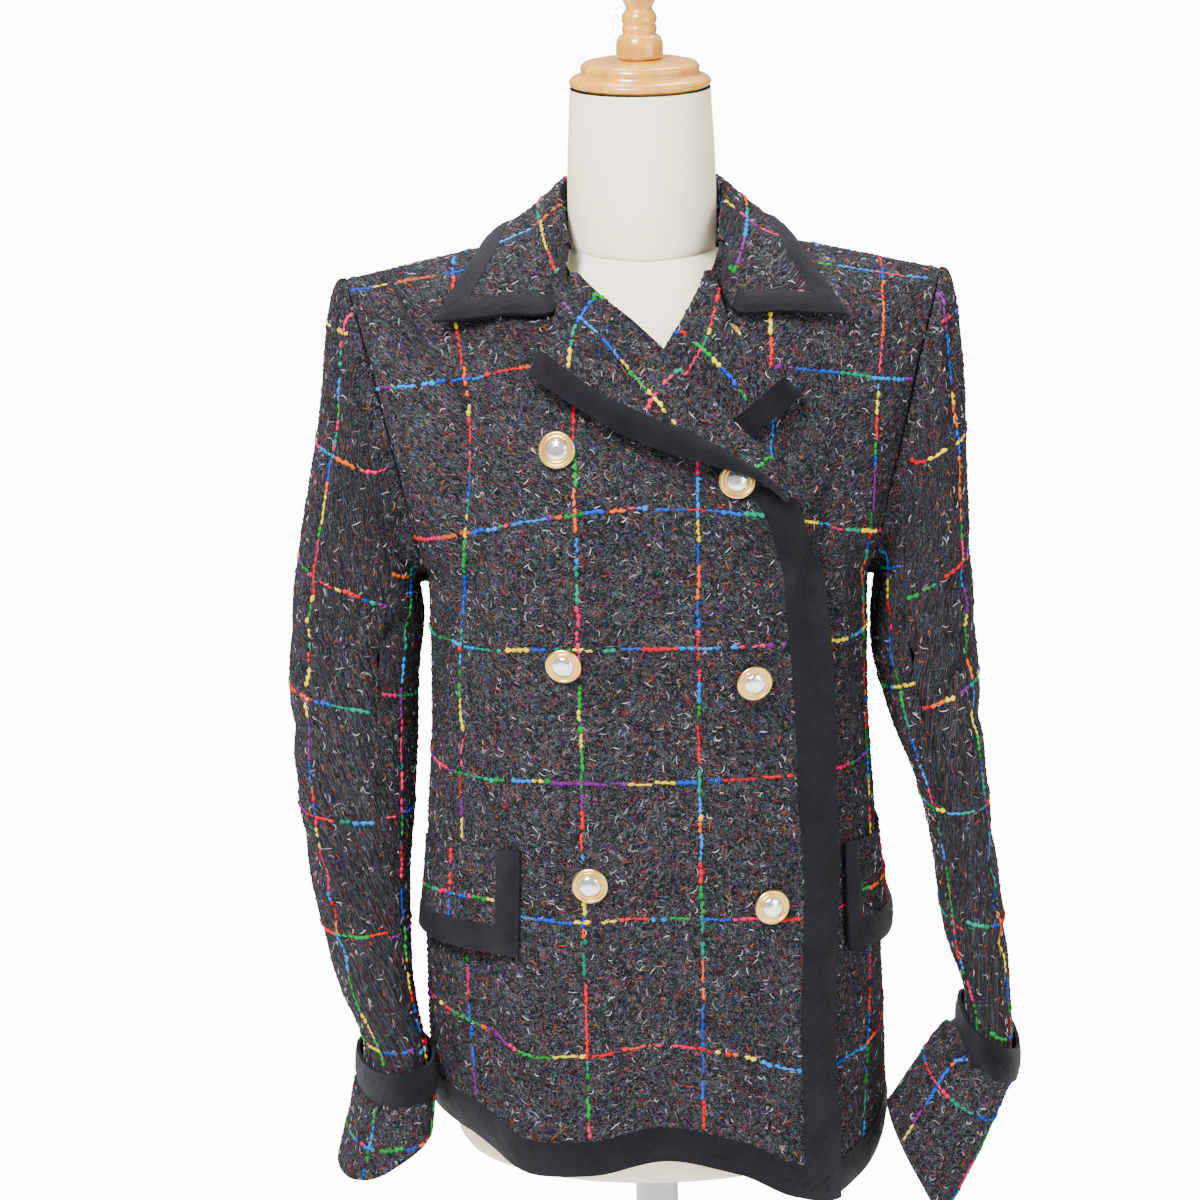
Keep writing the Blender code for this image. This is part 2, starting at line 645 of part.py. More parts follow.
def lapel_grid(table, edge_table, surface, side):
    """The lapel's upper face: round the roll from inside the front, then over it to the outer edge. Its lines
    start at the front's own edge points, and at the break and the gorge between them."""
    rim = surface(edge_turn(edge_table, ROWS, side), ROWS)
    first, last = table.rows[0, 1], table.rows[-1, 1]
    roll_z = np.array([first, *(z for z in rim[:, 2] if first + 4 < z < last - 4), last])
    roll = stack(*(np.interp(roll_z, rim[:, 2], rim[:, k]) for k in range(3)))
    t = table.at(np.interp(roll_z, table.rows[:, 1], table.rows[:, 0]))
    roll_turn, roll_row = front_place(roll[:, 0], roll_z)
    normal = body_normal(roll_turn, roll_row)
    tangent = unit(np.gradient(roll, axis=0))
    away = -side * unit(np.cross(tangent, normal))
    centre = roll + ROLL_RADIUS * normal + (GAP + 0.3) * away
    outer = ROLL_RADIUS + WALL
    round_roll = [math.cos(math.radians(a)) * away + math.sin(math.radians(a)) * normal for a in ROLL_ANGLES]
    columns = [centre + outer * direction for direction in round_roll]
    start_x = roll[:, 0] + side * 3
    to_middle = np.hypot(start_x - t.middle_x, roll_z - t.middle_z)
    to_edge = np.hypot(t.middle_x - t.edge_x, t.middle_z - t.edge_z)
    trim_at = 1 - np.minimum(LAPEL_TRIM / to_edge, 0.8)
    low = 2 * ROLL_RADIUS + WALL
    for step in (0, 0.5, 1, 1 + trim_at / 2, 1 + trim_at, 2):
        first, second = np.minimum(step, 1), np.maximum(step - 1, 0)
        x = start_x + (t.middle_x - start_x) * first + (t.edge_x - t.middle_x) * second
        z = roll_z + (t.middle_z - roll_z) * first + (t.edge_z - t.middle_z) * second
        share = (to_middle * first + to_edge * second) / (to_middle + to_edge)
        turn, row = front_place(x, z)
        columns.append(surface(turn, row, low + (t.rise + WALL - low) * (1 - (1 - share) ** 1.6)))
    grid = np.stack(columns, axis=1)
    normals = side * grid_normals(grid)
    normals[:, : len(round_roll)] = np.stack(round_roll, axis=1)
    return grid, normals


def build_lapel(name, table, edge_table, surface, side, tweed, trim):
    """A lapel turned back over its front, and the binding of its outer edge."""
    grid, normals = lapel_grid(table, edge_table, surface, side)
    wall("lapel_" + name, grid, tweed, inward=-1, normals=normals)
    binding("lapel_binding_" + name, grid[:, -2], grid[:, -1], (normals[:, -2], normals[:, -1]), trim)


# half of the collar, from centre back (0) to the gorge (1), which is also the share of the neckline seam: the
# fold's place, a point on the fall, and the outer edge
COLLAR = Table(
    "key fold_x fold_y fold_z fall_x fall_y fall_z edge_x edge_y edge_z",
    (0.00, 0, 65, 892, 0, 84, 870, 0, 92, 842),
    (0.20, 30, 60, 892, 40, 78, 868, 50, 88, 840),
    (0.40, 54, 34, 891, 74, 45, 873, 95, 56, 848),
    (0.55, 57, 6, 889, 80, 9, 878, 107, 13, 861),
    (0.75, 54, -24, 878, 78, -36, 864, 120, -34, 850),
    (0.90, 52, -46, 862, 67, -66, 843, 134, -58, 832),
    (1.00, 53, -56, 852, 60, -84, 824, 146, -73, 816),
)
GORGE_Z = 850.0  # height of the gorge's inner end, on both roll lines
COLLAR_KEYS = np.array([0, 0.12, 0.24, 0.35, 0.46, 0.57, 0.69, 0.81, 0.93, 1.0])
LEFT_COLLAR_REACH = 0.95  # the left point reaches less far out
COLLAR_LIFT = 1.8  # the collar's seam above the neckline
FOLD_RADIUS = 3.4
FALL_CLEAR = (2.4, 5.5)  # least distance of the fall's upper face from the coat, near the fold and at its edge


def neckline(side):
    """The neckline seam from centre back to the gorge, through the panels' own edge points."""
    neck_rows = ROWS[ROWS >= BACK_NECK_ROW]
    back = left_front(back_turns(side)[ROWS >= BACK_NECK_ROW, 0], neck_rows)
    table, surface = (LEFT_EDGE, left_front) if side > 0 else (RIGHT_EDGE, right_front)
    front = surface(edge_turn(table, ROWS, side), ROWS)
    gorge = stack(*(np.interp(GORGE_Z, front[:, 2], front[:, k]) for k in range(3)))
    return np.concatenate([back, front[front[:, 2] > GORGE_Z + 1][-2::-1], [gorge]])


def held_off(points, side, distance):
    """Points moved off the coat until they are at least the distance from it."""
    rows = np.linspace(0.8, 1.0, 41)[:, None]
    front_turns = side * np.linspace(0, 1, 50)[None, :] * end_turn(rows)
    surface = right_front if side < 0 else left_front
    turns_behind = side * (180 - np.linspace(0, 1, 50)[None, :] * end_turn(rows))
    skins = [surface(front_turns, rows), left_front(turns_behind, rows)]
    normals = [body_normal(front_turns, rows), body_normal(turns_behind, rows)]
    skin = np.concatenate([s.reshape(-1, 3) for s in skins])
    normal = np.concatenate([n.reshape(-1, 3) for n in normals])
    flat = points.reshape(-1, 3).copy()
    for _ in range(2):
        nearest = np.argmin(np.linalg.norm(flat[:, None, :] - skin[None, :, :], axis=2), axis=1)
        off = np.sum((flat - skin[nearest]) * normal[nearest], axis=1)
        flat += np.maximum(0, distance.reshape(-1) - off)[:, None] * normal[nearest]
    return flat.reshape(points.shape)


def along(points, shares):
    """Points at shares of a polyline's length."""
    steps = np.linalg.norm(np.diff(points, axis=0), axis=1)
    length = np.concatenate([[0], np.cumsum(steps)]) / steps.sum()
    return np.stack([np.interp(shares, length, points[:, k]) for k in range(3)], axis=-1)


def half_collar(side):
    """Half of the collar's upper face: up the stand inside the neck, over the fold, down the fall."""
    t = COLLAR.at(COLLAR_KEYS)
    fold = stack(side * t.fold_x, t.fold_y, t.fold_z)
    fall = stack(side * t.fall_x, t.fall_y, t.fall_z)
    edge = stack(side * t.edge_x * (LEFT_COLLAR_REACH if side > 0 else 1), t.edge_y, t.edge_z)
    seam = along(neckline(side), COLLAR_KEYS) + COLLAR_LIFT * UP
    away = unit((fall - fold) * np.array([1, 1, 0.0]))
    lift_up = unit(UP - 0.15 * away)
    over = [fold + FOLD_RADIUS * ((1 - math.cos(a)) * away + math.sin(a) * lift_up) for a in (0.0, 1.0, 2.1)]
    near, far = (np.full(len(fall), WALL + clear) for clear in FALL_CLEAR)
    fall, edge = held_off(fall, side, near), held_off(edge, side, far)
    trim_at = held_off(edge + unit(fall - edge) * COLLAR_TRIM, side, (near + far) / 2)
    columns = [seam, seam * 0.45 + fold * 0.55, *over, fall, (fall + trim_at) / 2, trim_at, edge]
    return np.stack(columns, axis=1)


def build_collar(tweed, trim):
    """Stand and fall in one turned piece, and the binding of its outer edge and fronts."""
    grid = np.concatenate([half_collar(-1)[:0:-1], half_collar(1)])
    wall("collar", grid, tweed, inward=1)
    rows, last = grid.shape[0] - 1, grid.shape[1] - 1
    right_edge = [(1, c, 0, c) for c in range(5, last)] + [(1, last - 1, 0, last)]
    outer_edge = [(r, last - 1, r, last) for r in range(1, rows)]
    left_edge = [(rows - 1, last - 1, rows, last)] + [(rows - 1, c, rows, c) for c in range(last - 1, 4, -1)]
    bind_grid("collar_binding", grid, -grid_normals(grid), right_edge + outer_edge + left_edge, trim)


# ---- pocket flaps and buttons -------------------------------------------------------------------------

# from the flap's front end (0) to its rear end (1)
RIGHT_FLAP_LENGTH = 130.0
LEFT_FLAP_LENGTH = 112.0
RIGHT_FLAP = Table(
    "key turn top_z bottom_z stand_off",
    (0.0, -34.5, 437, 361, 3.0),
    (0.5, -57, 432, 356, 5.0),
    (1.0, -82, 422, 352, 5.5),
)
LEFT_FLAP = Table(
    "key turn top_z bottom_z stand_off",
    (0.0, 56, 426, 346, 2.5),
    (0.5, 74, 422, 341, 6.0),
    (1.0, 97, 418, 338, 9.0),
)
FLAP_CLEAR = 0.9  # its seam lies this far off the panel
BUTTON_PLACES = (
    ("chest_right", right_front, -60, 732),
    ("waist_right", right_front, -60, 580),
    ("low_right", right_front, -45, 415),
    ("chest_left", right_front, 58, 711),
    ("waist_left", right_front, 70, 563),
    ("low_left", right_front, 81, 394),
    ("inner", left_front, 57, 804),
)
BUTTON_CLEAR = 0.5  # under the shank
# (radius, height) pairs above the cloth: a shank, the dished disc and its raised rim
BUTTON = ((0, 0), (3, 0), (3.4, 0.7), (11.4, 0.7), (13, 1.8), (13, 3.2), (11.8, 4.4))
BUTTON += ((9.2, 4.5), (8.4, 3.6), (0, 3.6))
INNER_BUTTON = ((0, 0), (8.6, 0), (9.4, 0.8), (9.4, 1.6), (8.4, 2.4), (0, 2.4))
STONE = ((0, 3.9), (5.6, 3.9), (6.2, 4.7), (4.6, 6.4), (0, 6.9))


def row_for(turn, z):
    """The row where a turn reaches a height."""
    turn, z = np.broadcast_arrays(np.asarray(turn, float), np.asarray(z, float))
    return halved(np.zeros(turn.shape), 1, lambda r: body(turn, r)[..., 2] < z)


def build_flap(name, table, surface, side, tweed, trim):
    """A pocket flap sewn at its top, and the binding of its front and lower edges."""
    length = RIGHT_FLAP_LENGTH if side < 0 else LEFT_FLAP_LENGTH
    keys = np.concatenate([[0, FLAP_TRIM / length], np.linspace(FLAP_TRIM / length, 1, 7)[1:]])
    t = table.at(keys)
    shares = np.array([0, 0.28, 0.52, 0.74, 1.0])
    turn = t.turn[None, :] + np.zeros(5)[:, None]
    row = row_for(turn, t.top_z + (t.bottom_z - t.top_z) * shares[:, None])
    stand_off = WALL + FLAP_CLEAR + (t.stand_off - FLAP_CLEAR) * ease(shares * 0.8)[:, None]
    grid = surface(turn, row, stand_off)
    wall("flap_" + name, grid, tweed, inward=side)
    front = [(r, 1, r, 0) for r in range(4)]
    lower = [(3, c, 4, c) for c in range(1, len(keys))]
    normal = -side * grid_normals(grid)
    bind_grid("flap_binding_" + name, grid, normal, front + [(3, 1, 4, 0)] + lower, trim)


def build_buttons(gold, crystal):
    """Turned buttons, and the stone in each one that shows."""
    for name, surface, x, z in BUTTON_PLACES:
        turn, row = front_place(x, z)
        axis = body_normal(turn, row)
        place = surface(turn, row, BUTTON_CLEAR)
        if name == "inner":
            turned("button_inner", INNER_BUTTON, gold, sides=20, place=place, axis=axis)
            continue
        turned("button_" + name, BUTTON, gold, sides=20, place=place, axis=axis)
        turned("stone_" + name, STONE, crystal, sides=12, place=place, axis=axis)


# ---- dress form and stand -----------------------------------------------------------------------------

NECK_R = 52.0
NECK_Y = -2.0
NECK_JOIN = Table("angle z", (0, 850), (60, 853), (90, 858), (120, 861), (180, 866))
NECK = Table("z radius", (850, 52.5), (885, 52.5), (915, 52), (945, 50.5), (964, 49.5))
NECK_RINGS = (885, 915, 945, 964)  # heights
NECK_ANGLES = np.linspace(-90, 90, 9)
OUTER_SHARES = np.array([0.22, 0.42, 0.6, 0.76, 0.89, 1.0])
FORM_ROWS = np.array([0, 0.1, 0.2, 0.31, 0.42, 0.51, 0.57, ARMPIT, 0.66, 0.70, 0.735, 0.82, 0.88, 0.92])
FORM_ROWS = np.concatenate([FORM_ROWS, [0.95, 0.975, 1.0]])
CHEST_ROW = 0.88  # from here its front rises straight to the neck
FORM_FOOT = ((197, 0.99), (184, 0.98), (176, 0.95), (172, 0.88))  # height and share of the lowest ring
BASE = ((0, 0), (147, 0), (150, 3), (150, 15), (143, 20), (45, 24), (26, 30), (0, 30))
POLE_R = 16.0
CAP_BASE_Z = 964.65
CAP = (
    (0, 0),
    (46, 0),
    (49.5, 2.3),
    (50, 5),
    (48, 7.5),
    (42.5, 9.5),
    (41.5, 11.5),
    (42, 14.5),
    (40, 17.5),
    (29, 20),
    (0, 20),
)
FINIAL = (
    (0, 20.4),
    (15.5, 20.4),
    (16.5, 22.4),
    (16.5, 31.4),
    (14.5, 35.9),
    (11.5, 37.4),
    (12.3, 39.4),
    (12.3, 42.4),
    (11.2, 43.9),
    (12.4, 46.4),
    (12.2, 50.4),
    (9.3, 54.4),
    (9.3, 55.9),
    (13, 63.4),
    (17.5, 72.4),
    (18.5, 80.4),
    (15, 89.4),
    (8, 94.4),
    (0, 95.8),
)


# the coat rests on the form as far out as end_x, then lifts away within the fade
SHOULDER_REST = SimpleNamespace(end_x=118.0, fade=50.0, clear=3.0)
LOOSE = SimpleNamespace(chest=9.5, more_at_hem=6.0)  # room between the coat and the form elsewhere
RIDGE_CLEAR = 0.9  # the form's shoulder line lies this far under the coat's
RIDGE_DROP = 4.0  # and this much further towards its end


def form_clearance(point, row):
    """How far the form lies inside the coat's outer face: least on the shoulders, which carry the coat."""
    x = np.abs(point[..., 0])
    shoulder = ease((row - 0.92) / 0.06) * (1 - ease((x - SHOULDER_REST.end_x) / SHOULDER_REST.fade))
    loose = LOOSE.chest + LOOSE.more_at_hem * (1 - ease(row / 0.3))
    return loose + (WALL + SHOULDER_REST.clear - loose) * shoulder


def form_half(front):
    """Front or back half of the form, from the hem to the shoulder; its columns run from -X to +X."""
    rows = FORM_ROWS[:, None]
    neck_turns = turn_at(NECK_R * np.sin(np.radians(NECK_ANGLES))[None, :], rows)
    side_turns = neck_turns[:, -1:] + (end_turn(rows) - neck_turns[:, -1:]) * OUTER_SHARES[None, :]
    turns = np.concatenate([-side_turns[:, ::-1], neck_turns, side_turns], axis=1)
    ridge = plain_body(turns[-1], 1.0)
    if not front:
        turns = np.where(turns < 0, -1, 1) * (180 - np.abs(turns))
    skin = plain_body(turns, rows)
    normal = body_normal(turns, rows + 0 * turns)
    at_side = np.isclose(np.abs(turns), 90)
    normal = np.where(at_side[..., None], np.sign(skin) * np.array([1.0, 0, 0]), normal)
    grid = skin - form_clearance(skin, rows)[..., None] * normal
    past = ease((np.abs(ridge[:, :1]) - SHOULDER_REST.end_x) / SHOULDER_REST.fade)
    grid[-1] = ridge - (WALL + RIDGE_CLEAR + RIDGE_DROP * past) * UP
    return grid


def build_form(linen):
    """Torso and neck in one solid: front and back meet at the sides and along the shoulders."""
    first, last = len(OUTER_SHARES), len(OUTER_SHARES) + len(NECK_ANGLES) - 1
    halves = []
    for sign in (-1, 1):
        grid = form_half(sign < 0)
        angles = np.radians(NECK_ANGLES)
        around_neck = np.abs(NECK_ANGLES) if sign < 0 else 180 - np.abs(NECK_ANGLES)
        join_z = NECK_JOIN.at(around_neck).z
        join = stack(NECK_R * np.sin(angles), NECK_Y + sign * NECK_R * np.cos(angles), join_z)
        chest = int(np.argmax(FORM_ROWS >= CHEST_ROW))
        for r in range(chest + 1, len(FORM_ROWS)):
            share = (FORM_ROWS[r] - FORM_ROWS[chest]) / (1 - FORM_ROWS[chest])
            grid[r, first : last + 1] = grid[chest, first : last + 1] * (1 - share) + join * share
        foot = [grid[0] * (share, share, 0) + UP * z for z, share in FORM_FOOT[::-1]]
        halves.append(np.concatenate([foot, grid[1:]]))
    add_object("form_torso", *form_mesh(halves, first, last), linen)


def form_mesh(halves, first, last):
    """Points and faces of the form from its front and back grids, the neck above them and the foot below."""
    front, back = halves
    rows, columns = front.shape[:2]
    points = [*front.reshape(-1, 3), *back.reshape(-1, 3)]
    layer = rows * columns
    faces = []
    for r in range(rows - 1):
        for c in range(columns - 1):
            a = r * columns + c
            for start in (0, layer):
                faces.append((start + a, start + a + 1, start + a + columns + 1, start + a + columns))
        for c in (0, columns - 1):
            a = r * columns + c
            faces.append((a, a + columns, layer + a + columns, layer + a))
    top = (rows - 1) * columns
    ring = [top + c for c in range(first, last + 1)]
    ring += [layer + top + c for c in range(last - 1, first, -1)]
    for z in NECK_RINGS:
        radius = float(NECK.at(z).radius)
        start = len(points)
        for index in ring:
            direction = unit(points[index][:2] - np.array([0, NECK_Y]))
            points.append(np.array([radius * direction[0], NECK_Y + radius * direction[1], z]))
        above = list(range(start, start + len(ring)))
        for k in range(len(ring)):
            m = (k + 1) % len(ring)
            faces.append((ring[k], ring[m], above[m], above[k]))
        ring = above
    faces.append(tuple(ring))
    faces.append(tuple(range(columns)) + tuple(layer + c for c in range(columns - 2, 0, -1)))
    return points, faces


def build_stand(wood, metal):
    """Neck cap and finial, pole and foot."""
    turned("neck_cap", [(r, CAP_BASE_Z + z) for r, z in CAP], wood, sides=32, place=(0, NECK_Y, 0))
    turned("finial", [(r, CAP_BASE_Z + z) for r, z in FINIAL], wood, sides=20, place=(0, NECK_Y, 0))
    low, high = BASE[-1][1] + GAP, FORM_FOOT[-1][0] - GAP
    pole = ((0, low), (POLE_R, low), (POLE_R, high), (0, high))
    turned("pole", pole, metal, sides=24)
    turned("base", BASE, metal, sides=48)


def main():
    """Clears the scene and builds every piece."""
    for old in list(bpy.data.objects):
        bpy.data.objects.remove(old, do_unlink=True)
    tweed = material("tweed", (0.045, 0.045, 0.055), 0.9)
    trim = material("binding", (0.03, 0.035, 0.05), 0.6)
    gold = material("gold", (0.83, 0.6, 0.28), 0.3, 1.0)
    crystal = material("crystal", (0.8, 0.8, 0.82), 0.1)
    linen = material("linen", (0.8, 0.76, 0.66), 0.8)
    wood = material("wood", (0.66, 0.42, 0.18), 0.3)
    metal = material("steel", (0.45, 0.44, 0.42), 0.35, 1.0)
    build_body(tweed, trim)
    build_sleeve("right", RIGHT_SLEEVE, -1, tweed, trim)
    build_sleeve("left", LEFT_SLEEVE, 1, tweed, trim)
    build_lapel("right", RIGHT_LAPEL, RIGHT_EDGE, right_front, -1, tweed, trim)
    build_lapel("left", LEFT_LAPEL, LEFT_EDGE, left_front, 1, tweed, trim)
    build_collar(tweed, trim)
    build_flap("right", RIGHT_FLAP, right_front, -1, tweed, trim)
    build_flap("left", LEFT_FLAP, left_front, 1, tweed, trim)
    build_buttons(gold, crystal)
    build_form(linen)
    build_stand(wood, metal)


if __name__ == "__main__":
    main()
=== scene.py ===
import math
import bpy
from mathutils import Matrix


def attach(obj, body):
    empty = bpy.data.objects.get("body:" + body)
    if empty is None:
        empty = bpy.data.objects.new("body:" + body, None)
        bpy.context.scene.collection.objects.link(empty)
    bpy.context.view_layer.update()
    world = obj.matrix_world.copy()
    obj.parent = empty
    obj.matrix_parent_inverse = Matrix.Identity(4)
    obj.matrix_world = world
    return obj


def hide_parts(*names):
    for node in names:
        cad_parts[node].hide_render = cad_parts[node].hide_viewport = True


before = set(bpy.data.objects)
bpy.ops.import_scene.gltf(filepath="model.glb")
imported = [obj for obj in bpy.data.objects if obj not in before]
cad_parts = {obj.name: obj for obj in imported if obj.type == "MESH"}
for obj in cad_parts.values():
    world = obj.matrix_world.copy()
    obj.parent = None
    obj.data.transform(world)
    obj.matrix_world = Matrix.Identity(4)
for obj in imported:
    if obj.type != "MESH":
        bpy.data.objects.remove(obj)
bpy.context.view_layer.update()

from types import SimpleNamespace

import bpy
import numpy as np
from mathutils import Matrix

bl_info = {
    "name": "Tweed jacket on a dress form",
    "version": (1, 0, 0),
    "blender": (4, 5, 0),
    "location": "View3D > Sidebar > Jacket",
    "description": "Dresses the jacket's solids in boucle tweed, bindings, yarns and buttons",
    "category": "Object",
}

# Millimetres in every table and function, metres in the meshes. +Z is up, the front faces -Y and the
# wearer's right is -X. The coat body is one surface: rows cross it from the hem (0) to the shoulder seam (1),
# and a turn says where on the row, 0 at centre front, 90 at a side and 180 at centre back. Every piece of
# cloth is a panel: a grid of points on the outer face of its solid, pressed by its creases.

MM = 0.001
BODY = "root"
ALL = slice(None)  # every row or column of a grid
UP = np.array([0.0, 0.0, 1.0])
FACE_TRIM = 1.5  # the binding's face above the tweed
SEAM_DIP = 0.9  # how far both cloths sink at a seam

# ---- cloth and clearances
WALL = 2.0  # tweed with its interlining
HEM_TRIM = 26.0  # visible width of the binding on the hem and front edge
LAPEL_TRIM = 16.0
COLLAR_TRIM = 16.0
CUFF_TRIM = 24.0
FLAP_TRIM = 20.0

# ---- the coat body's landmarks
ARMPIT = 0.63  # row of the armpit: rows above it end at the armhole
ARMHOLE_TURN = 72.0  # where those rows end; below the armpit they end at 90
ARMHOLE_ROWS = 0.06  # over which the end moves from one to the other
BACK_NECK_ROW = 0.962
NECK_X = 62.0  # neck point of the shoulder seam
UNDERLAP_X = -92.0  # edge of the left front, under the right one
UNDERLAP_LIFT = 5.8  # the right front lies this far outside the left one
LAPEL_LIFT = 7.0  # and this much further where it crosses the left lapel


class Table:
    """Named columns, a row for each section, and the smooth curves through them that never overshoot."""

    def __init__(self, columns, *rows):
        self.names = columns.split()
        self.rows = np.array(sorted(rows), float)
        self.knots = self.rows[:, 0]
        self.step = np.diff(self.knots)
        rise = np.diff(self.rows, axis=0) / self.step[:, None]
        both = rise[:-1] * rise[1:]
        total = np.where(both > 0, rise[:-1] + rise[1:], 1.0)
        inner = np.where(both > 0, 2 * both / total, 0.0)
        self.slopes = np.vstack([rise[:1], inner, rise[-1:]])

    def at(self, key):
        """Every column's value at the key."""
        key = np.asarray(key, float)
        i = np.clip(np.searchsorted(self.knots, key) - 1, 0, len(self.step) - 1)
        t = np.clip((key - self.knots[i]) / self.step[i], 0, 1)[..., None]
        width = self.step[i][..., None]
        low, high = self.rows[i], self.rows[i + 1]
        values = (2 * t**3 - 3 * t**2 + 1) * low + (3 * t**2 - 2 * t**3) * high
        slopes = (t**3 - 2 * t**2 + t) * self.slopes[i] + (t**3 - t**2) * self.slopes[i + 1]
        values = values + width * slopes
        return SimpleNamespace(**{name: values[..., k] for k, name in enumerate(self.names)})


def ease(t):
    """0 below 0, 1 above 1, and smooth between."""
    t = np.clip(t, 0.0, 1.0)
    return t * t * (3 - 2 * t)


def unit(v):
    """Vectors at length 1."""
    return v / np.maximum(np.linalg.norm(v, axis=-1, keepdims=True), 1e-9)


def stack(x, y, z):
    """Points from three coordinate arrays."""
    return np.stack(np.broadcast_arrays(x, y, z), axis=-1).astype(float)


# end_ is the row's outer end: the side seam, and the armhole above the armpit. bow is the exponent of the
# row's roundness in plan, and fall that of its drop towards its outer end.
FRONT = Table(
    "row centre_z centre_y end_x end_y end_z bow fall",
    (0.00, 190, -122, 168, 4, 190, 2.10, 2.0),
    (0.15, 290, -121, 169, 4, 290, 2.25, 2.0),
    (0.36, 430, -115, 165, 4, 430, 2.40, 2.0),
    (0.48, 510, -111, 160, 4, 508, 2.45, 2.0),
    (0.57, 570, -116, 159, 3, 565, 2.40, 2.0),
    (0.63, 620, -123, 159, 0, 608, 2.35, 2.0),
    (0.69, 668, -127, 163, -34, 633, 2.30, 1.9),
    (0.76, 718, -123, 172, -45, 680, 2.30, 1.8),
    (0.83, 765, -111, 183, -44, 728, 2.25, 1.7),
    (0.89, 806, -92, 194, -36, 776, 2.20, 1.5),
    (0.95, 848, -54, 206, -17, 816, 2.20, 1.3),
    (1.00, 878, 8, 211, 5, 832, 2.20, 0.85),
)
BACK = Table(
    "row centre_z centre_y end_x end_y end_z bow fall",
    (0.00, 190, 124, 168, 4, 190, 2.20, 2.0),
    (0.15, 290, 120, 169, 4, 290, 2.25, 2.0),
    (0.36, 430, 102, 165, 4, 430, 2.30, 2.0),
    (0.48, 510, 88, 160, 4, 508, 2.35, 2.0),
    (0.57, 570, 91, 159, 3, 565, 2.40, 2.0),
    (0.63, 620, 98, 159, 0, 608, 2.40, 2.0),
    (0.69, 668, 104, 163, 30, 633, 2.35, 1.9),
    (0.76, 718, 107, 172, 46, 680, 2.30, 1.8),
    (0.83, 765, 105, 183, 52, 728, 2.25, 1.7),
    (0.89, 808, 96, 194, 46, 776, 2.20, 1.5),
    (0.95, 850, 76, 206, 28, 816, 2.20, 1.3),
    (0.975, 862, 60, 209, 17, 826, 2.20, 1.1),
    (1.00, 878, 8, 211, 5, 832, 2.20, 0.85),
)
# the hem's rise above the row, and how far its soft waves move out, by turn
HEM = Table(
    "turn rise out",
    (-180, -14, 0), (-140, -6, 5), (-105, 8, -2), (-90, 18, 0), (-70, 21, 0), (-55, 20, 2),
    (-43, 13, 5), (-30, 2, 6), (-16, 4, 2), (2, 12, -8), (20, 0, -2), (34, -22, 5), (48, -34, 4),
    (64, -32, -1), (82, -22, 2), (100, -14, 10), (125, -12, 16), (150, -13, 3), (180, -14, 0),
)
HEM_REACH = 0.42  # the row where the hem's waves have died out
TO_ROUND = np.array([1 / 170, 1 / 123, 0.0])  # from the hem's oval to a circle
BACK_NECK = Table("row x", (0, 0), (BACK_NECK_ROW, 0), (0.982, 47), (1.0, NECK_X))
# the middle of the swell of each front, how far it comes out and how fast it fades
BUST = SimpleNamespace(x=78.0, row=0.69, out=7.0, wide=48.0, tall=0.075)
# the right front's edge and, above the break, its roll line, by height
RIGHT_EDGE = Table(
    "z x",
    (140, 124), (283, 125), (400, 130), (475, 127), (580, 122), (628, 118), (664, 109), (680, 102),
    (698, 91), (720, 79), (743, 57), (772, 29), (799, 1), (828, -35), (849, -55), (866, -62),
)
LEFT_EDGE = Table(
    "z x",
    (140, UNDERLAP_X), (600, UNDERLAP_X), (670, -78), (726, -38), (765, -6), (794, 14), (828, 38),
    (849, 50), (866, 62),
)


def end_turn(row):
    """Where a row ends: at the side seam, or at the armhole."""
    return 90 - (90 - ARMHOLE_TURN) * ease((np.asarray(row, float) - ARMPIT) / ARMHOLE_ROWS)


def half_body(table, across, row):
    """Half of the body surface: across is the sine of the turn from the centre line."""
    t = table.at(row)
    end = np.sin(np.radians(end_turn(row)))

    def bow_of(a):
        return np.maximum(0.0, 1 - np.minimum(np.abs(a), 1.0) ** t.bow) ** (1 / t.bow)

    end_bow = bow_of(np.where(end > 0.9999, 1.0, end))
    far_y = (t.end_y - t.centre_y * end_bow) / (1 - end_bow)
    far_z = (t.end_z - t.centre_z) / end**t.fall
    x = t.end_x * across / end
    y = far_y + (t.centre_y - far_y) * bow_of(across)
    z = t.centre_z + far_z * np.abs(across) ** t.fall
    return x, y, z


def plain_body(turn, row):
    """The body surface without the hem's waves."""
    turn, row = np.broadcast_arrays((np.asarray(turn, float) + 180) % 360 - 180, np.asarray(row, float))
    across = np.sin(np.radians(turn))
    in_front = np.abs(turn) <= 90
    fx, fy, fz = half_body(FRONT, across, row)
    bx, by, bz = half_body(BACK, across, row)
    bust = ((np.abs(fx) - BUST.x) / BUST.wide) ** 2 + ((row - BUST.row) / BUST.tall) ** 2
    fy = fy - BUST.out * np.exp(-bust)
    return stack(np.where(in_front, fx, bx), np.where(in_front, fy, by), np.where(in_front, fz, bz))


def body(turn, row):
    """The outer face of the coat body."""
    point = plain_body(turn, row)
    turn = (np.asarray(turn, float) + 180) % 360 - 180
    hem = HEM.at(turn)
    near = 1 - ease(np.asarray(row, float) / HEM_REACH)
    outward = unit(point * TO_ROUND)
    point = point + (hem.out * near**1.5)[..., None] * outward
    return point + (hem.rise * near)[..., None] * UP


TURN_STEP = 0.7  # to the neighbours that a normal is taken from
ROW_STEP = 0.004


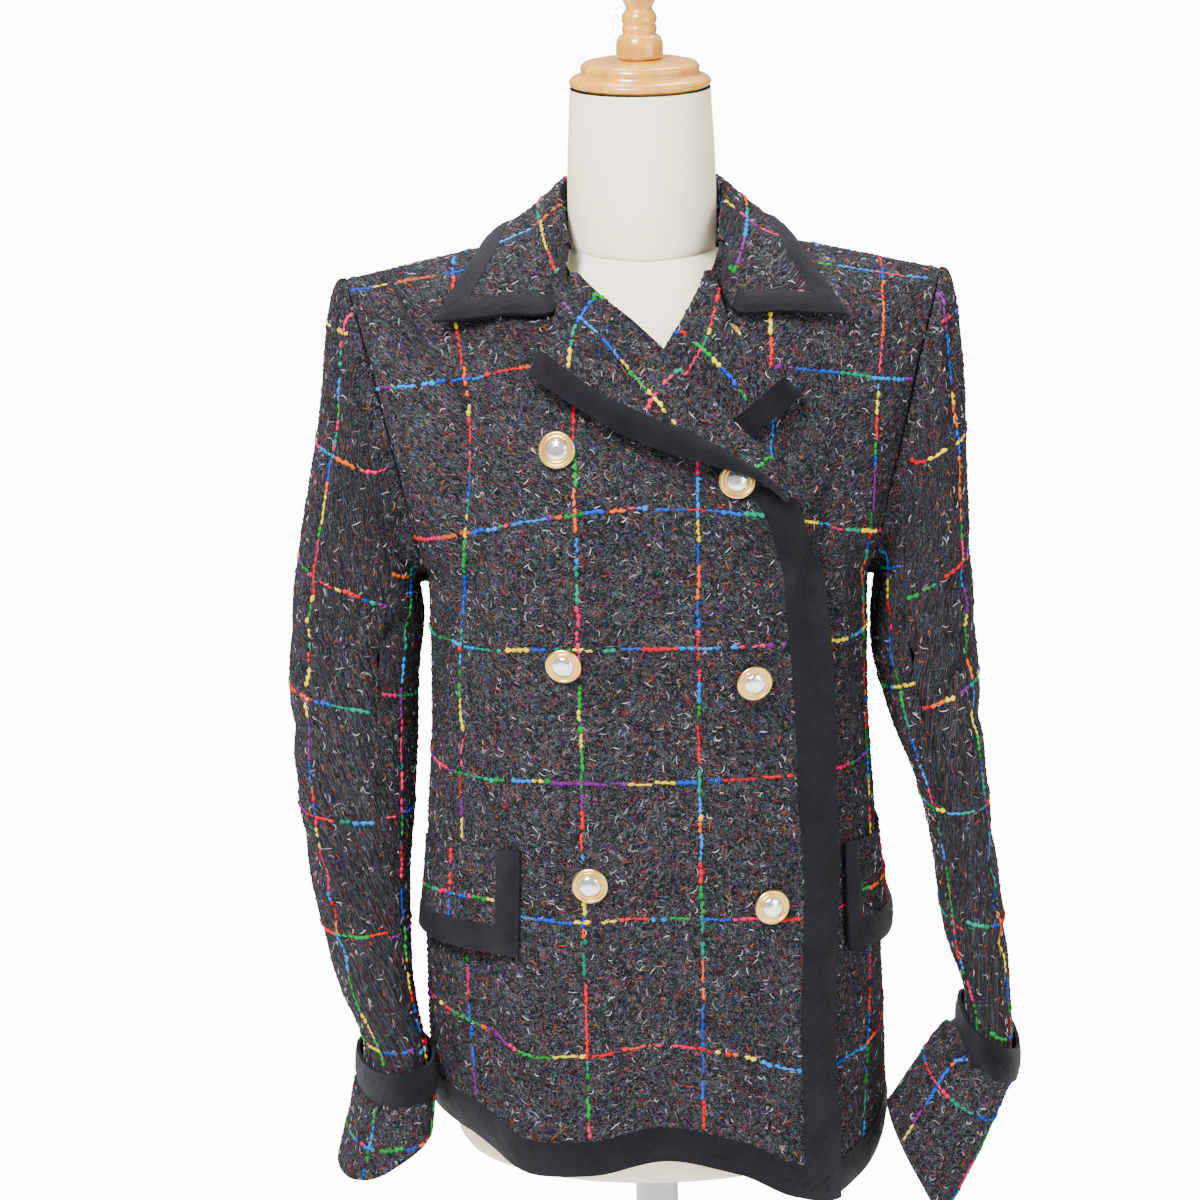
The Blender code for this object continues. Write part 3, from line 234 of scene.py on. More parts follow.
def body_normal(turn, row):
    """Outward unit normals of the body surface."""
    turn, row = np.broadcast_arrays(np.asarray(turn, float), np.asarray(row, float))
    in_front = np.abs((turn + 180) % 360 - 180) <= 90
    low_turn, high_turn = turn - TURN_STEP, turn + TURN_STEP
    low_turn = np.where(in_front, np.clip(low_turn, -90, 90), low_turn)
    high_turn = np.where(in_front, np.clip(high_turn, -90, 90), high_turn)
    across = plain_body(high_turn, row) - plain_body(low_turn, row)
    up = plain_body(turn, np.minimum(row + ROW_STEP, 1)) - plain_body(turn, np.maximum(row - ROW_STEP, 0))
    return unit(np.cross(across, up))


def turn_at(x, row):
    """The turn of the front point with this x."""
    return np.degrees(np.arcsin(np.clip(x / FRONT.at(row).end_x * np.sin(np.radians(end_turn(row))), -1, 1)))


def halved(low, high, is_low):
    """Where is_low changes from true to false, by halving."""
    low, high = (np.array(a, float) for a in np.broadcast_arrays(low, high))
    for _ in range(30):
        middle = (low + high) / 2
        below = is_low(middle)
        low, high = np.where(below, middle, low), np.where(below, high, middle)
    return (low + high) / 2


def front_place(x, z):
    """(turn, row) of the front point seen at x and z."""
    x, z = np.broadcast_arrays(np.asarray(x, float), np.asarray(z, float))
    row = halved(np.zeros(x.shape), 1, lambda r: body(turn_at(x, r), r)[..., 2] < z)
    return turn_at(x, row), row


EDGE_WITHIN = 140.0  # both fronts' edges have an x within this


def edge_turn(table, row, side):
    """The turn where a row meets a front's edge; side is that of the front's side seam."""
    row = np.asarray(row, float)

    def inside(x):
        point = body(turn_at(x, row), row)
        return side * (x - table.at(point[..., 2]).x) > 0

    x = halved(side * EDGE_WITHIN, -side * EDGE_WITHIN + np.zeros(row.shape), inside)
    return turn_at(x, row)


# where the right front rises over the left one and over its lapel, and comes down again towards the neck
OVER_FRONT = SimpleNamespace(x=UNDERLAP_X - 34.0, wide=26.0)
OVER_LAPEL = SimpleNamespace(x=-82.0, wide=30.0, z=655.0, tall=35.0)
TO_NECK = SimpleNamespace(z=802.0, tall=44.0)


def lift(turn, row):
    """How far outside the body surface the right front lies, over the left front and its lapel."""
    point = body(turn, row)
    x, z = point[..., 0], point[..., 2]
    over_front = ease((x - OVER_FRONT.x) / OVER_FRONT.wide)
    over_lapel = ease((x - OVER_LAPEL.x) / OVER_LAPEL.wide) * ease((z - OVER_LAPEL.z) / OVER_LAPEL.tall)
    below_neck = 1 - ease((z - TO_NECK.z) / TO_NECK.tall)
    return (UNDERLAP_LIFT * over_front + LAPEL_LIFT * over_lapel) * below_neck


def right_front(turn, row, out=0.0):
    """The right front's outer face, moved out."""
    far = lift(turn, row) + np.asarray(out, float)
    return body(turn, row) + far[..., None] * body_normal(turn, row)


def left_front(turn, row, out=0.0):
    """The left front's outer face, moved out; the back panels use it too."""
    turn, row, out = np.broadcast_arrays(turn, row, out)
    return body(turn, row) + out[..., None] * body_normal(turn, row)


# ---- creases: each is a soft trough (depth above 0) or ridge across a panel

# u and v are its middle on the cloth, turn the direction it runs in from level, in degrees
FRONT_CREASES = (
    "u v turn half_length half_width depth",
    (-134, 752, 82, 56, 9, 3.6),
    (-116, 772, 74, 44, 8, 2.0),
    (-112, 690, 76, 46, 12, 1.8),
    (-140, 610, 60, 60, 14, 2.2),
    (-92, 655, 38, 46, 13, -1.4),
    (-120, 520, 18, 52, 11, 1.8),
    (-60, 505, 8, 66, 10, 1.1),
    (-70, 330, 84, 90, 20, -1.8),
    (-118, 300, 95, 80, 17, 2.2),
    (-22, 300, 88, 110, 19, 1.7),
    (40, 290, 80, 90, 22, -1.5),
    (92, 650, 96, 60, 9, 2.0),
    (20, 545, -14, 62, 12, 1.3),
    (84, 480, -30, 50, 12, 1.4),
    (118, 655, 84, 62, 10, 3.4),
    (134, 730, 70, 46, 10, 2.0),
    (132, 560, 100, 60, 12, -1.6),
    (140, 330, 86, 90, 16, 2.0),
)
BACK_CREASES = (
    "u v turn half_length half_width depth",
    (-130, 760, 100, 56, 10, 2.6),
    (132, 742, 80, 60, 10, 2.4),
    (-60, 560, 12, 70, 12, 2.0),
    (-84, 520, 20, 54, 11, -1.6),
    (70, 548, -14, 74, 12, 2.2),
    (96, 506, -24, 50, 10, 1.6),
    (12, 590, 4, 80, 14, 1.3),
    (-96, 320, 86, 110, 20, 2.4),
    (-40, 290, 94, 90, 22, -2.0),
    (44, 310, 86, 100, 20, 2.2),
    (104, 300, 92, 90, 18, -1.8),
    (0, 800, 2, 90, 16, 1.4),
)
# on a sleeve u runs round it from its top and v down it from the armhole
SLEEVE_CREASES = (
    "u v turn half_length half_width depth",
    (34, 60, 78, 52, 9, 2.2),
    (-30, 66, 100, 56, 10, 2.0),
    (70, 150, 62, 60, 11, 2.4),
    (44, 236, 24, 46, 10, 2.2),
    (74, 268, -6, 44, 8, 3.2),
    (60, 300, 16, 50, 9, 2.6),
    (40, 340, -18, 54, 10, 2.0),
    (-46, 262, 14, 46, 9, 2.6),
    (-70, 300, -12, 44, 9, 2.8),
    (-40, 372, 22, 52, 10, 1.8),
    (24, 440, 34, 50, 10, 2.4),
    (56, 476, -8, 40, 8, 2.8),
    (38, 514, 12, 40, 8, 2.2),
    (-52, 470, -24, 46, 9, 2.2),
)


CREASE_SCALE = 1.7  # how strongly this cloth creases
CREASE_WIND = 0.35  # how far a crease winds from side to side, over its half width


def crease_depth(creases, u, v, share=1.0):
    """How far in all the creases press the cloth at the places u and v."""
    depth = np.zeros(np.shape(u))
    for middle_u, middle_v, turn, half_length, half_width, deep in creases[1:]:
        c, s = math.cos(math.radians(turn)), math.sin(math.radians(turn))
        run = ((u - middle_u) * c + (v - middle_v) * s) / half_length
        bend = CREASE_WIND * half_width * np.sin(2.2 * run + middle_u)
        side = (-(u - middle_u) * s + (v - middle_v) * c + bend) / half_width
        depth += CREASE_SCALE * share * deep * np.exp(-(run**4) - side**2)
    return depth


# ---- grids of cloth: outer face, outward normals and the place on the cloth in millimetres


def grid_normals(grid, around=False):
    """Unit normals of a grid, across its columns and then its rows."""
    if around:
        across = np.roll(grid, -1, axis=1) - np.roll(grid, 1, axis=1)
    else:
        across = np.gradient(grid, axis=1)
    return unit(np.cross(across, np.gradient(grid, axis=0)))


def arcs(grid, axis):
    """Distance along a grid's rows or columns from its first line."""
    steps = np.linalg.norm(np.diff(grid, axis=axis), axis=-1)
    pad = [(0, 0), (0, 0)]
    pad[axis] = (1, 0)
    return np.cumsum(np.pad(steps, pad), axis=axis)


# below the chest the lines down the fronts lean to the sides: how far, from where across and down
DRIFT = SimpleNamespace(far=17.0, start=70.0, fade=60.0, top_z=760.0, tall=150.0)


def from_centre(grid, side):
    """Distance along each row of a front from where x is 0, with the lean of its lines taken off."""
    length, x = arcs(grid, 1), grid[..., 0]
    centre = [
        side * -row_x[0] if side * row_x[0] > 0 else np.interp(0, side * row_x, row_length)
        for row_x, row_length in zip(x, length)
    ]
    along_row = length - np.array(centre)[:, None]
    below = ease((DRIFT.top_z - grid[..., 2]) / DRIFT.tall)
    return side * (along_row - DRIFT.far * ease((along_row - DRIFT.start) / DRIFT.fade) * below)


WEAVES_APART = 400.0  # keeps the weave of a left piece from repeating that of its right one


def cloth(grid, outward, u, v, creases=None, share=1.0, around=False, seams=()):
    """A panel: its grid pressed by its creases and sunk at its seams, with new normals. outward is the sign
    from the grid's normals to the outside. place is where each point is on the flat weave."""
    place = np.stack([arcs(grid, 1), arcs(grid, 0)], axis=-1)
    place = place - place[:, grid.shape[1] // 2][:, None] * (1, 0) + (outward * WEAVES_APART + u.mean(), 0)
    normals = outward * grid_normals(grid, around)
    if creases:
        grid = grid - crease_depth(creases, u, v, share)[..., None] * normals
    for lines in seams:
        grid[lines] = grid[lines] - SEAM_DIP * normals[lines]
    normals = outward * grid_normals(grid, around)
    return SimpleNamespace(grid=grid, normals=normals, u=u, v=v, place=place, outward=outward, around=around)


TRIM_ROW = 0.039  # the hem binding's upper line
TRIM_LINES = 7  # lines of a grid over the width of a binding
CELLS = TRIM_LINES - 1
BODY_LINES = 148  # rows above the hem binding
FRONT_LINES = 64
BACK_LINES = 42
ROWS = np.concatenate([np.linspace(0, TRIM_ROW, TRIM_LINES), np.linspace(TRIM_ROW, 1, BODY_LINES)[1:]])
BREAK_Z = 698.0  # where the right lapel turns back


def front_turns(table, side):
    """Turns of a front's grid: across the binding's width, then evenly to its side."""
    edge = edge_turn(table, ROWS, side)
    edge_x = body(edge, ROWS)[..., 0]
    share = np.linspace(0, 1, TRIM_LINES)[None, :-1]
    trim = turn_at(edge_x[:, None] + side * HEM_TRIM * share, ROWS[:, None])
    inner = turn_at(edge_x + side * HEM_TRIM, ROWS)
    share = np.linspace(0, 1, FRONT_LINES)[None, :]
    rest = inner[:, None] * (1 - share) + (side * end_turn(ROWS))[:, None] * share
    return np.concatenate([trim, rest], axis=1)


WAIST = SimpleNamespace(row=0.57, z=570.0)
# the lines across the coat sag towards the sides of the waist
SAG = SimpleNamespace(deep=8.0, start=78.0, fade=60.0, z=560.0, tall=110.0)


def down_cloth(turn, row):
    """The place down the cloth, which is the height at the waist."""
    line = plain_body(0 * ROWS, ROWS)
    length = arcs(line[None, :, :], 1)[0]
    waist = np.interp(WAIST.row, ROWS, length)
    point = plain_body(turn, row)
    at_waist = np.exp(-(((point[..., 2] - SAG.z) / SAG.tall) ** 2))
    sag = SAG.deep * ease((np.abs(point[..., 0]) - SAG.start) / SAG.fade) * at_waist
    return WAIST.z + np.interp(row, ROWS, length) - waist + sag


def front_panel(surface, table, side):
    """A front."""
    turns, rows = front_turns(table, side), ROWS[:, None] + np.zeros((1, CELLS + FRONT_LINES))
    grid = surface(turns, rows)
    seams = [(ALL, -1), (-1, ALL)]
    return cloth(grid, side, from_centre(grid, side), down_cloth(turns, rows), FRONT_CREASES, seams=seams)


def back_turns(side):
    """Turns of a back panel's grid, from the centre back seam or the neckline to its side."""
    neck_x = np.where(ROWS > BACK_NECK_ROW, BACK_NECK.at(ROWS).x, 0)
    start = np.degrees(np.arcsin(neck_x / BACK.at(ROWS).end_x * np.sin(np.radians(end_turn(ROWS)))))
    share = np.linspace(0, 1, BACK_LINES)[None, :]
    turn = 180 - (start[:, None] * (1 - share) + end_turn(ROWS)[:, None] * share)
    return side * np.clip(turn, 90.001, 179.999)


def back_panel(side):
    """A back panel."""
    turns, rows = back_turns(side), ROWS[:, None] + np.zeros((1, BACK_LINES))
    grid = left_front(turns, rows)
    u = grid[:, :1, 0] + side * arcs(grid, 1)
    seams = [(ALL, -1), (-1, ALL), (ALL, 0)]
    return cloth(grid, -side, u, down_cloth(turns, rows), BACK_CREASES, seams=seams)


# ---- sleeves and cuffs

# along a sleeve from the armhole (0) to its end (1): the top and under points of the ring there, its depth
# ahead of and behind them, and how far it swings forward, in degrees
RIGHT_SLEEVE = Table(
    "along top_x top_z under_x under_z y ahead behind swing",
    (0.00, 211, 832, 160, 608, 5, 46, 50, 0),
    (0.05, 221, 819, 161, 602, 4, 50, 54, 0),
    (0.12, 228, 788, 162, 594, 3, 52, 56, 0),
    (0.20, 232, 748, 163, 580, 2, 54, 56, 0),
    (0.32, 244, 680, 166, 558, 1, 54, 54, 0),
    (0.42, 257, 610, 169, 530, -1, 53, 52, 0),
    (0.52, 263, 530, 170, 498, -4, 52, 50, 0),
    (0.62, 260, 450, 174, 440, -10, 50, 47, 3),
    (0.70, 252, 385, 179, 390, -17, 47, 45, 6),
    (0.79, 236, 312, 180, 325, -26, 46, 44, 10),
    (0.87, 215, 252, 172, 262, -36, 45, 42, 14),
    (0.93, 222, 212, 170, 240, -42, 47, 44, 14),
    (1.00, 235, 168, 171, 212, -48, 50, 46, 14),
)
LEFT_SLEEVE = Table(
    "along top_x top_z under_x under_z y ahead behind swing",
    (0.00, 211, 832, 160, 608, 5, 46, 50, 0),
    (0.05, 220, 819, 161, 602, 4, 50, 54, 0),
    (0.12, 226, 788, 162, 592, 3, 52, 56, 0),
    (0.20, 229, 748, 162, 575, 2, 54, 56, 0),
    (0.32, 231, 685, 163, 550, 1, 56, 56, 0),
    (0.42, 235, 615, 169, 525, -1, 57, 56, 0),
    (0.52, 240, 540, 178, 495, -4, 58, 55, 0),
    (0.62, 246, 465, 194, 455, -8, 58, 54, 0),
    (0.70, 254, 395, 206, 405, -14, 56, 52, 0),
    (0.79, 262, 325, 214, 345, -20, 53, 50, 0),
    (0.87, 265, 256, 232, 280, -26, 48, 46, 0),
    (0.93, 246, 192, 208, 246, -30, 48, 46, 0),
    (1.00, 214, 122, 175, 200, -34, 50, 46, 0),
)

ARMHOLE_BLEND = 0.22  # by here the armhole's shape has become the sleeve's own
SHOULDER_X = 211.0  # the shoulder's outer end
SHOULDER_Z = 832.0
HEAD_REACH = 0.6  # how much of the sleeve head's reach past the shoulder the armhole's shape takes
RING_BOW = 2.3  # exponent of the roundness of its section
SEAM_ANGLE = 112.0  # the sleeve's seams, from its top
SLEEVE_ROUND = 300.0  # its cloth's width round the arm
SLEEVE_LENGTHENED = 1.05  # its cloth's length over its height, because it slants
CUFF_TOP = 0.87
CUFF_CLEAR = (3.4, 0.7)  # the cuff's inner face off the sleeve, at its top and at its lower edge
CUFF_SPANS = (96, 25)  # round the cuff, and down it below the binding
CUFF_START = 30.0  # v at its upper edge
STATIONS = np.concatenate([np.linspace(0, 0.2, 28), np.linspace(0.2, 1, 110)[1:]])
TOP_ANGLES = np.linspace(-SEAM_ANGLE, SEAM_ANGLE, 54)
UNDER_ANGLES = np.linspace(SEAM_ANGLE, 360 - SEAM_ANGLE, 30)


def armhole(angle, side):
    """The armhole loop: angle 0 is the shoulder seam, 90 the front, 180 the armpit, 270 the back."""
    angle = np.asarray(angle, float) % 360
    folded = np.where(angle <= 180, angle, 360 - angle)
    row = ARMPIT + (1 - ARMPIT) * (1 + np.cos(np.radians(folded))) / 2
    turn = np.where(angle <= 180, end_turn(row), 180 - end_turn(row))
    return left_front(side * np.clip(turn, 0.001, 179.999), row)


def sleeve(table, side, along, angle, out=0.0):
    """A point of the sleeve's outer face, moved out from its middle line."""
    along, angle, out = np.broadcast_arrays(*(np.asarray(a, float) for a in (along, angle, out)))
    t = table.at(along)
    top, under = stack(t.top_x, t.y, t.top_z), stack(t.under_x, t.y, t.under_z)
    half_width = np.linalg.norm(top - under, axis=-1) / 2
    outward = unit(top - under)
    swing = np.radians(t.swing)
    forward = stack(-np.sin(swing), -np.cos(swing), 0 * swing)
    turn = np.radians(angle)
    c, s = np.cos(turn), np.sin(turn)
    a = np.sign(c) * np.abs(c) ** (2 / RING_BOW) * (half_width + out)
    b = np.sign(s) * np.abs(s) ** (2 / RING_BOW) * (np.where(s > 0, t.ahead, t.behind) + out)
    ring = (top + under) / 2 + a[..., None] * outward + b[..., None] * forward
    ring[..., 0] *= side
    share = (1 - ease(along / ARMHOLE_BLEND))[..., None]
    past = HEAD_REACH * np.clip(top[..., :1] - SHOULDER_X, 0, None)
    loop = armhole(angle, side) + side * past * np.array([1.0, 0, 0])
    return ring * (1 - share) + loop * share


def sleeve_panels(table, side):
    """Top and under sleeve."""
    panels = []
    for angles in (TOP_ANGLES, UNDER_ANGLES):
        grid = sleeve(table, side, STATIONS[:, None], angles[None, :])
        u = SLEEVE_ROUND * angles[None, :] / 360 + 0 * grid[..., 0]
        level = grid[..., 2].mean(axis=1)[:, None]
        share = STATIONS[:, None]
        v = SLEEVE_LENGTHENED * (SHOULDER_Z - grid[..., 2] * (1 - share) - level * share)
        seams = [(ALL, 0), (ALL, -1), (0, ALL)]
        panels.append(cloth(grid, side, u, v, SLEEVE_CREASES, seams=seams))
    return panels


def cuff_panel(table, side):
    """The turned-back cuff, off the sleeve's own surface."""
    spans_round, spans_down = CUFF_SPANS
    angles = np.linspace(0, 360, spans_round, endpoint=False)[None, :]
    stations = np.linspace(CUFF_TOP, 1, 32)[:, None]
    base = sleeve(table, side, stations, angles)
    normals = side * grid_normals(base, around=True)
    opening = ((stations - CUFF_TOP) / (1 - CUFF_TOP))[..., None]
    grid = base + (WALL + CUFF_CLEAR[0] + (CUFF_CLEAR[1] - CUFF_CLEAR[0]) * opening) * normals
    down = unit(grid[1] - grid[0])
    trim = [grid[0] + down * CUFF_TRIM * k / CELLS for k in range(TRIM_LINES)]
    length = arcs(grid, 0)
    rest = []
    for k in range(1, spans_down + 1):
        at = CUFF_TRIM + (length[-1] - CUFF_TRIM) * k / spans_down
        rest.append(np.stack([along(grid[:, c], at[c] / length[-1, c]) for c in range(grid.shape[1])]))
    grid = np.stack(trim + rest)
    u = SLEEVE_ROUND * angles / 360 + 0 * grid[..., 0]
    return cloth(grid, side, u, arcs(grid, 0) + CUFF_START, around=True)


# ---- lapels and collar

ROLL_RADIUS = 1.3  # inner radius of the lapel's turn
ROLL_PAST = 0.6  # its centre lies this far past the front's edge
# up a lapel: the roll line's height, points at the middle and the edge of its face, and its edge's height
# off the front
RIGHT_LAPEL = Table(
    "key roll_z middle_x middle_z edge_x edge_z rise",
    (0.00, 698, 88.5, 697, 87, 695.5, 5.0),
    (0.15, 718, 75, 714, 71, 710, 9.0),
    (0.32, 742, 49, 733, 40, 722.5, 11.0),
    (0.50, 768, 20, 752, 8, 733, 11.5),
    (0.68, 797, -15, 780, -24, 746.5, 11.0),
    (0.85, 826, -46, 802, -51, 763, 11.0),
    (1.00, 841, -60, 811, -76, 778, 11.5),
)
LEFT_LAPEL = Table(
    "key roll_z middle_x middle_z edge_x edge_z rise",
    (0.00, 726, -33, 725, -30, 724, 2.8),
    (0.25, 752, 5, 738, 18, 722, 3.4),
    (0.50, 784, 42, 764, 62, 735, 3.4),
    (0.75, 814, 52, 792, 84, 749, 5.0),
    (1.00, 841, 56, 809, 102, 763, 10.0),
)

START_INSET = 3.0  # from the roll to where the flat part of a lapel starts
LAPEL_SPRING = 1.6  # exponent of its rise from the roll to its edge
MOST_TRIM = 0.8  # of the width from its middle to its edge
LAPEL_ROWS = 60
LAPEL_ANGLES = np.linspace(-90, 75, 9)  # round the roll
LAPEL_SPANS = (9, 6)  # from the roll to the middle, and from there to the binding


def lapel_panel(table, edge_table, surface, side):
    """A lapel: round the roll from inside the front, then over it to the outer edge."""
    rim = surface(edge_turn(edge_table, ROWS, side), ROWS)
    roll_z = np.linspace(table.rows[0, 1], table.rows[-1, 1], LAPEL_ROWS)
    roll = stack(*(np.interp(roll_z, rim[:, 2], rim[:, k]) for k in range(3)))
    t = table.at(np.interp(roll_z, table.rows[:, 1], table.rows[:, 0]))
    roll_turn, roll_row = front_place(roll[:, 0], roll_z)
    normal = body_normal(roll_turn, roll_row)
    away = -side * unit(np.cross(unit(np.gradient(roll, axis=0)), normal))
    centre = roll + ROLL_RADIUS * normal + ROLL_PAST * away
    columns = []
    for a in np.radians(LAPEL_ANGLES):
        columns.append(centre + (ROLL_RADIUS + WALL) * (math.cos(a) * away + math.sin(a) * normal))
    start_x = roll[:, 0] + side * START_INSET
    to_middle = np.hypot(start_x - t.middle_x, roll_z - t.middle_z)
    to_edge = np.hypot(t.middle_x - t.edge_x, t.middle_z - t.edge_z)
    trim_at = 1 - np.minimum(LAPEL_TRIM / to_edge, MOST_TRIM)
    low = 2 * ROLL_RADIUS + WALL
    inner, outer = LAPEL_SPANS
    steps = [k / inner + 0 * trim_at for k in range(inner + 1)]
    steps += [1 + trim_at * k / outer for k in range(1, outer + 1)]
    steps += [1 + trim_at + (1 - trim_at) * k / CELLS for k in range(1, TRIM_LINES)]
    for step in steps:
        first, second = np.minimum(step, 1), np.maximum(step - 1, 0)
        x = start_x + (t.middle_x - start_x) * first + (t.edge_x - t.middle_x) * second
        z = roll_z + (t.middle_z - roll_z) * first + (t.edge_z - t.middle_z) * second
        share = (to_middle * first + to_edge * second) / (to_middle + to_edge)
        turn, row = front_place(x, z)
        rise = 1 - (1 - share) ** LAPEL_SPRING
        columns.append(surface(turn, row, low + (t.rise + WALL - low) * rise))
    grid = np.stack(columns, axis=1)
    return cloth(grid, side, arcs(grid, 1), arcs(grid, 0)[:, :1] + 0 * arcs(grid, 1))


# half of the collar, from centre back (0) to its front end (1): the stand's top, the fall's start and edge
COLLAR = Table(
    "key fold_x fold_y fold_z fall_x fall_y fall_z edge_x edge_y edge_z",
    (0.00, 0, 65, 892, 0, 84, 870, 0, 92, 842),
    (0.20, 30, 60, 892, 40, 78, 868, 50, 88, 840),
    (0.40, 54, 34, 891, 74, 45, 873, 95, 56, 848),
    (0.55, 57, 6, 889, 80, 9, 878, 107, 13, 861),
    (0.75, 54, -24, 878, 78, -36, 864, 120, -34, 850),
    (0.90, 52, -46, 862, 67, -66, 843, 134, -58, 832),
    (1.00, 53, -56, 852, 60, -84, 824, 146, -73, 816),
)
GORGE_Z = 850.0  # height of the gorge's inner end, on both roll lines

COLLAR_KEYS = np.linspace(0, 1, 49)
COLLAR_LIFT = 1.2  # the collar's seam above the neckline
LEFT_COLLAR_REACH = 0.95  # the left point reaches less far out
FOLD_RADIUS = 3.4
FOLD_ANGLES = (0.0, 1.0, 2.1)  # of the points that shape the fold
FOLD_LEAN = 0.15
FALL_CLEAR = (2.4, 5.5)  # least distance of the fall from the coat, near its fold and at its edge
COLLAR_SPANS = 6  # between each two of the points that shape its section
FALL_LINE = 5 * COLLAR_SPANS  # the line where the fall starts
FLAT_LINE = 6 * COLLAR_SPANS  # half way from there to the binding


def along(points, shares):
    """Points at shares of a polyline's length."""
    steps = np.linalg.norm(np.diff(points, axis=0), axis=1)
    length = np.concatenate([[0], np.cumsum(steps)]) / steps.sum()
    return np.stack([np.interp(shares, length, points[:, k]) for k in range(3)], axis=-1)


def neckline(side):
    """The neckline seam from centre back to the gorge."""
    back = left_front(back_turns(side)[ROWS >= BACK_NECK_ROW, 0], ROWS[ROWS >= BACK_NECK_ROW])
    table, surface = (LEFT_EDGE, left_front) if side > 0 else (RIGHT_EDGE, right_front)
    front = surface(edge_turn(table, ROWS, side), ROWS)
    gorge = stack(*(np.interp(GORGE_Z, front[:, 2], front[:, k]) for k in range(3)))
    return np.concatenate([back, front[front[:, 2] > GORGE_Z + 1][-2::-1], [gorge]])


UNDER_COLLAR = np.linspace(0.8, 1.0, 41)[:, None]  # rows of the coat that the collar lies over


def held_off(points, side, distance):
    """Points moved off the coat until they are at least the distance from it."""
    rows, share = UNDER_COLLAR, np.linspace(0, 1, 50)[None, :]
    in_front, behind = side * share * end_turn(rows), side * (180 - share * end_turn(rows))
    surface = right_front if side < 0 else left_front
    skins = [surface(in_front, rows), left_front(behind, rows)]
    normals = [body_normal(in_front, rows), body_normal(behind, rows)]
    skin = np.concatenate([s.reshape(-1, 3) for s in skins])
    normal = np.concatenate([n.reshape(-1, 3) for n in normals])
    flat = points.reshape(-1, 3).copy()
    for _ in range(2):
        nearest = np.argmin(np.linalg.norm(flat[:, None, :] - skin[None, :, :], axis=2), axis=1)
        off = np.sum((flat - skin[nearest]) * normal[nearest], axis=1)
        flat += np.maximum(0, distance.reshape(-1) - off)[:, None] * normal[nearest]
    return flat.reshape(points.shape)


def smooth_through(points, count):
    """A smooth curve through each row's points, sampled evenly count times between neighbours."""
    last = points.shape[1] - 1
    before = np.concatenate([2 * points[:, :1] - points[:, 1:2], points[:, :-1]], axis=1)
    after = np.concatenate([points[:, 1:], 2 * points[:, -1:] - points[:, -2:-1]], axis=1)
    slope = (after - before) / 2
    columns = []
    for k in range(last):
        chord = np.linalg.norm(points[:, k + 1] - points[:, k], axis=-1, keepdims=True)
        ends = [unit(slope[:, k]) * chord, unit(slope[:, k + 1]) * chord]
        for step in range(count):
            t = step / count
            columns.append(
                (2 * t**3 - 3 * t**2 + 1) * points[:, k]
                + (3 * t**2 - 2 * t**3) * points[:, k + 1]
                + (t**3 - 2 * t**2 + t) * ends[0]
                + (t**3 - t**2) * ends[1]
            )
    return np.stack(columns + [points[:, -1]], axis=1)


def half_collar(side):
    """Half of the collar's upper face: up the stand, over the fold, down the fall to its edge."""
    t = COLLAR.at(COLLAR_KEYS)
    fold = stack(side * t.fold_x, t.fold_y, t.fold_z)
    fall = stack(side * t.fall_x, t.fall_y, t.fall_z)
    edge = stack(side * t.edge_x * (LEFT_COLLAR_REACH if side > 0 else 1), t.edge_y, t.edge_z)
    seam = along(neckline(side), COLLAR_KEYS) + COLLAR_LIFT * UP
    away = unit((fall - fold) * np.array([1, 1, 0.0]))
    high = unit(UP - FOLD_LEAN * away)
    over = [fold + FOLD_RADIUS * ((1 - math.cos(a)) * away + math.sin(a) * high) for a in FOLD_ANGLES]
    near, far = (np.full(len(fall), WALL + clear) for clear in FALL_CLEAR)
    fall, edge = held_off(fall, side, near), held_off(edge, side, far)
    trim_at = held_off(edge + unit(fall - edge) * COLLAR_TRIM, side, (near + far) / 2)
    columns = [seam, seam * 0.45 + fold * 0.55, *over, fall, (fall + trim_at) / 2, trim_at, edge]
    return smooth_through(np.stack(columns, axis=1), COLLAR_SPANS)


def collar_panel():
    """The collar from its right front edge to its left one, with lines across for the binding's width."""
    grid = np.concatenate([half_collar(-1)[:0:-1], half_collar(1)])
    widths = COLLAR_TRIM * np.arange(TRIM_LINES) / CELLS
    right, left = (np.stack([along_line(rows, width) for width in widths]) for rows in (grid, grid[::-1]))
    fall = grid[:, FALL_LINE]
    from_ends = np.minimum(*(np.linalg.norm(fall - fall[end], axis=1) for end in (0, -1)))
    grid = np.concatenate([right, grid[from_ends > COLLAR_TRIM + 2], left[::-1]])
    u = arcs(grid, 1)
    return cloth(grid, -1, u, arcs(grid, 0)[:, FLAT_LINE : FLAT_LINE + 1] + 0 * u)


def along_line(rows, distance):
    """The line across a grid at a distance along every one of its columns."""
    columns = []
    for c in range(rows.shape[1]):
        steps = np.linalg.norm(np.diff(rows[:, c], axis=0), axis=1)
        length = np.concatenate([[0], np.cumsum(steps)])
        columns.append([np.interp(distance, length, rows[:, c, k]) for k in range(3)])
    return np.array(columns)


# ---- flaps and buttons

RIGHT_FLAP_LENGTH = 130.0
LEFT_FLAP_LENGTH = 112.0
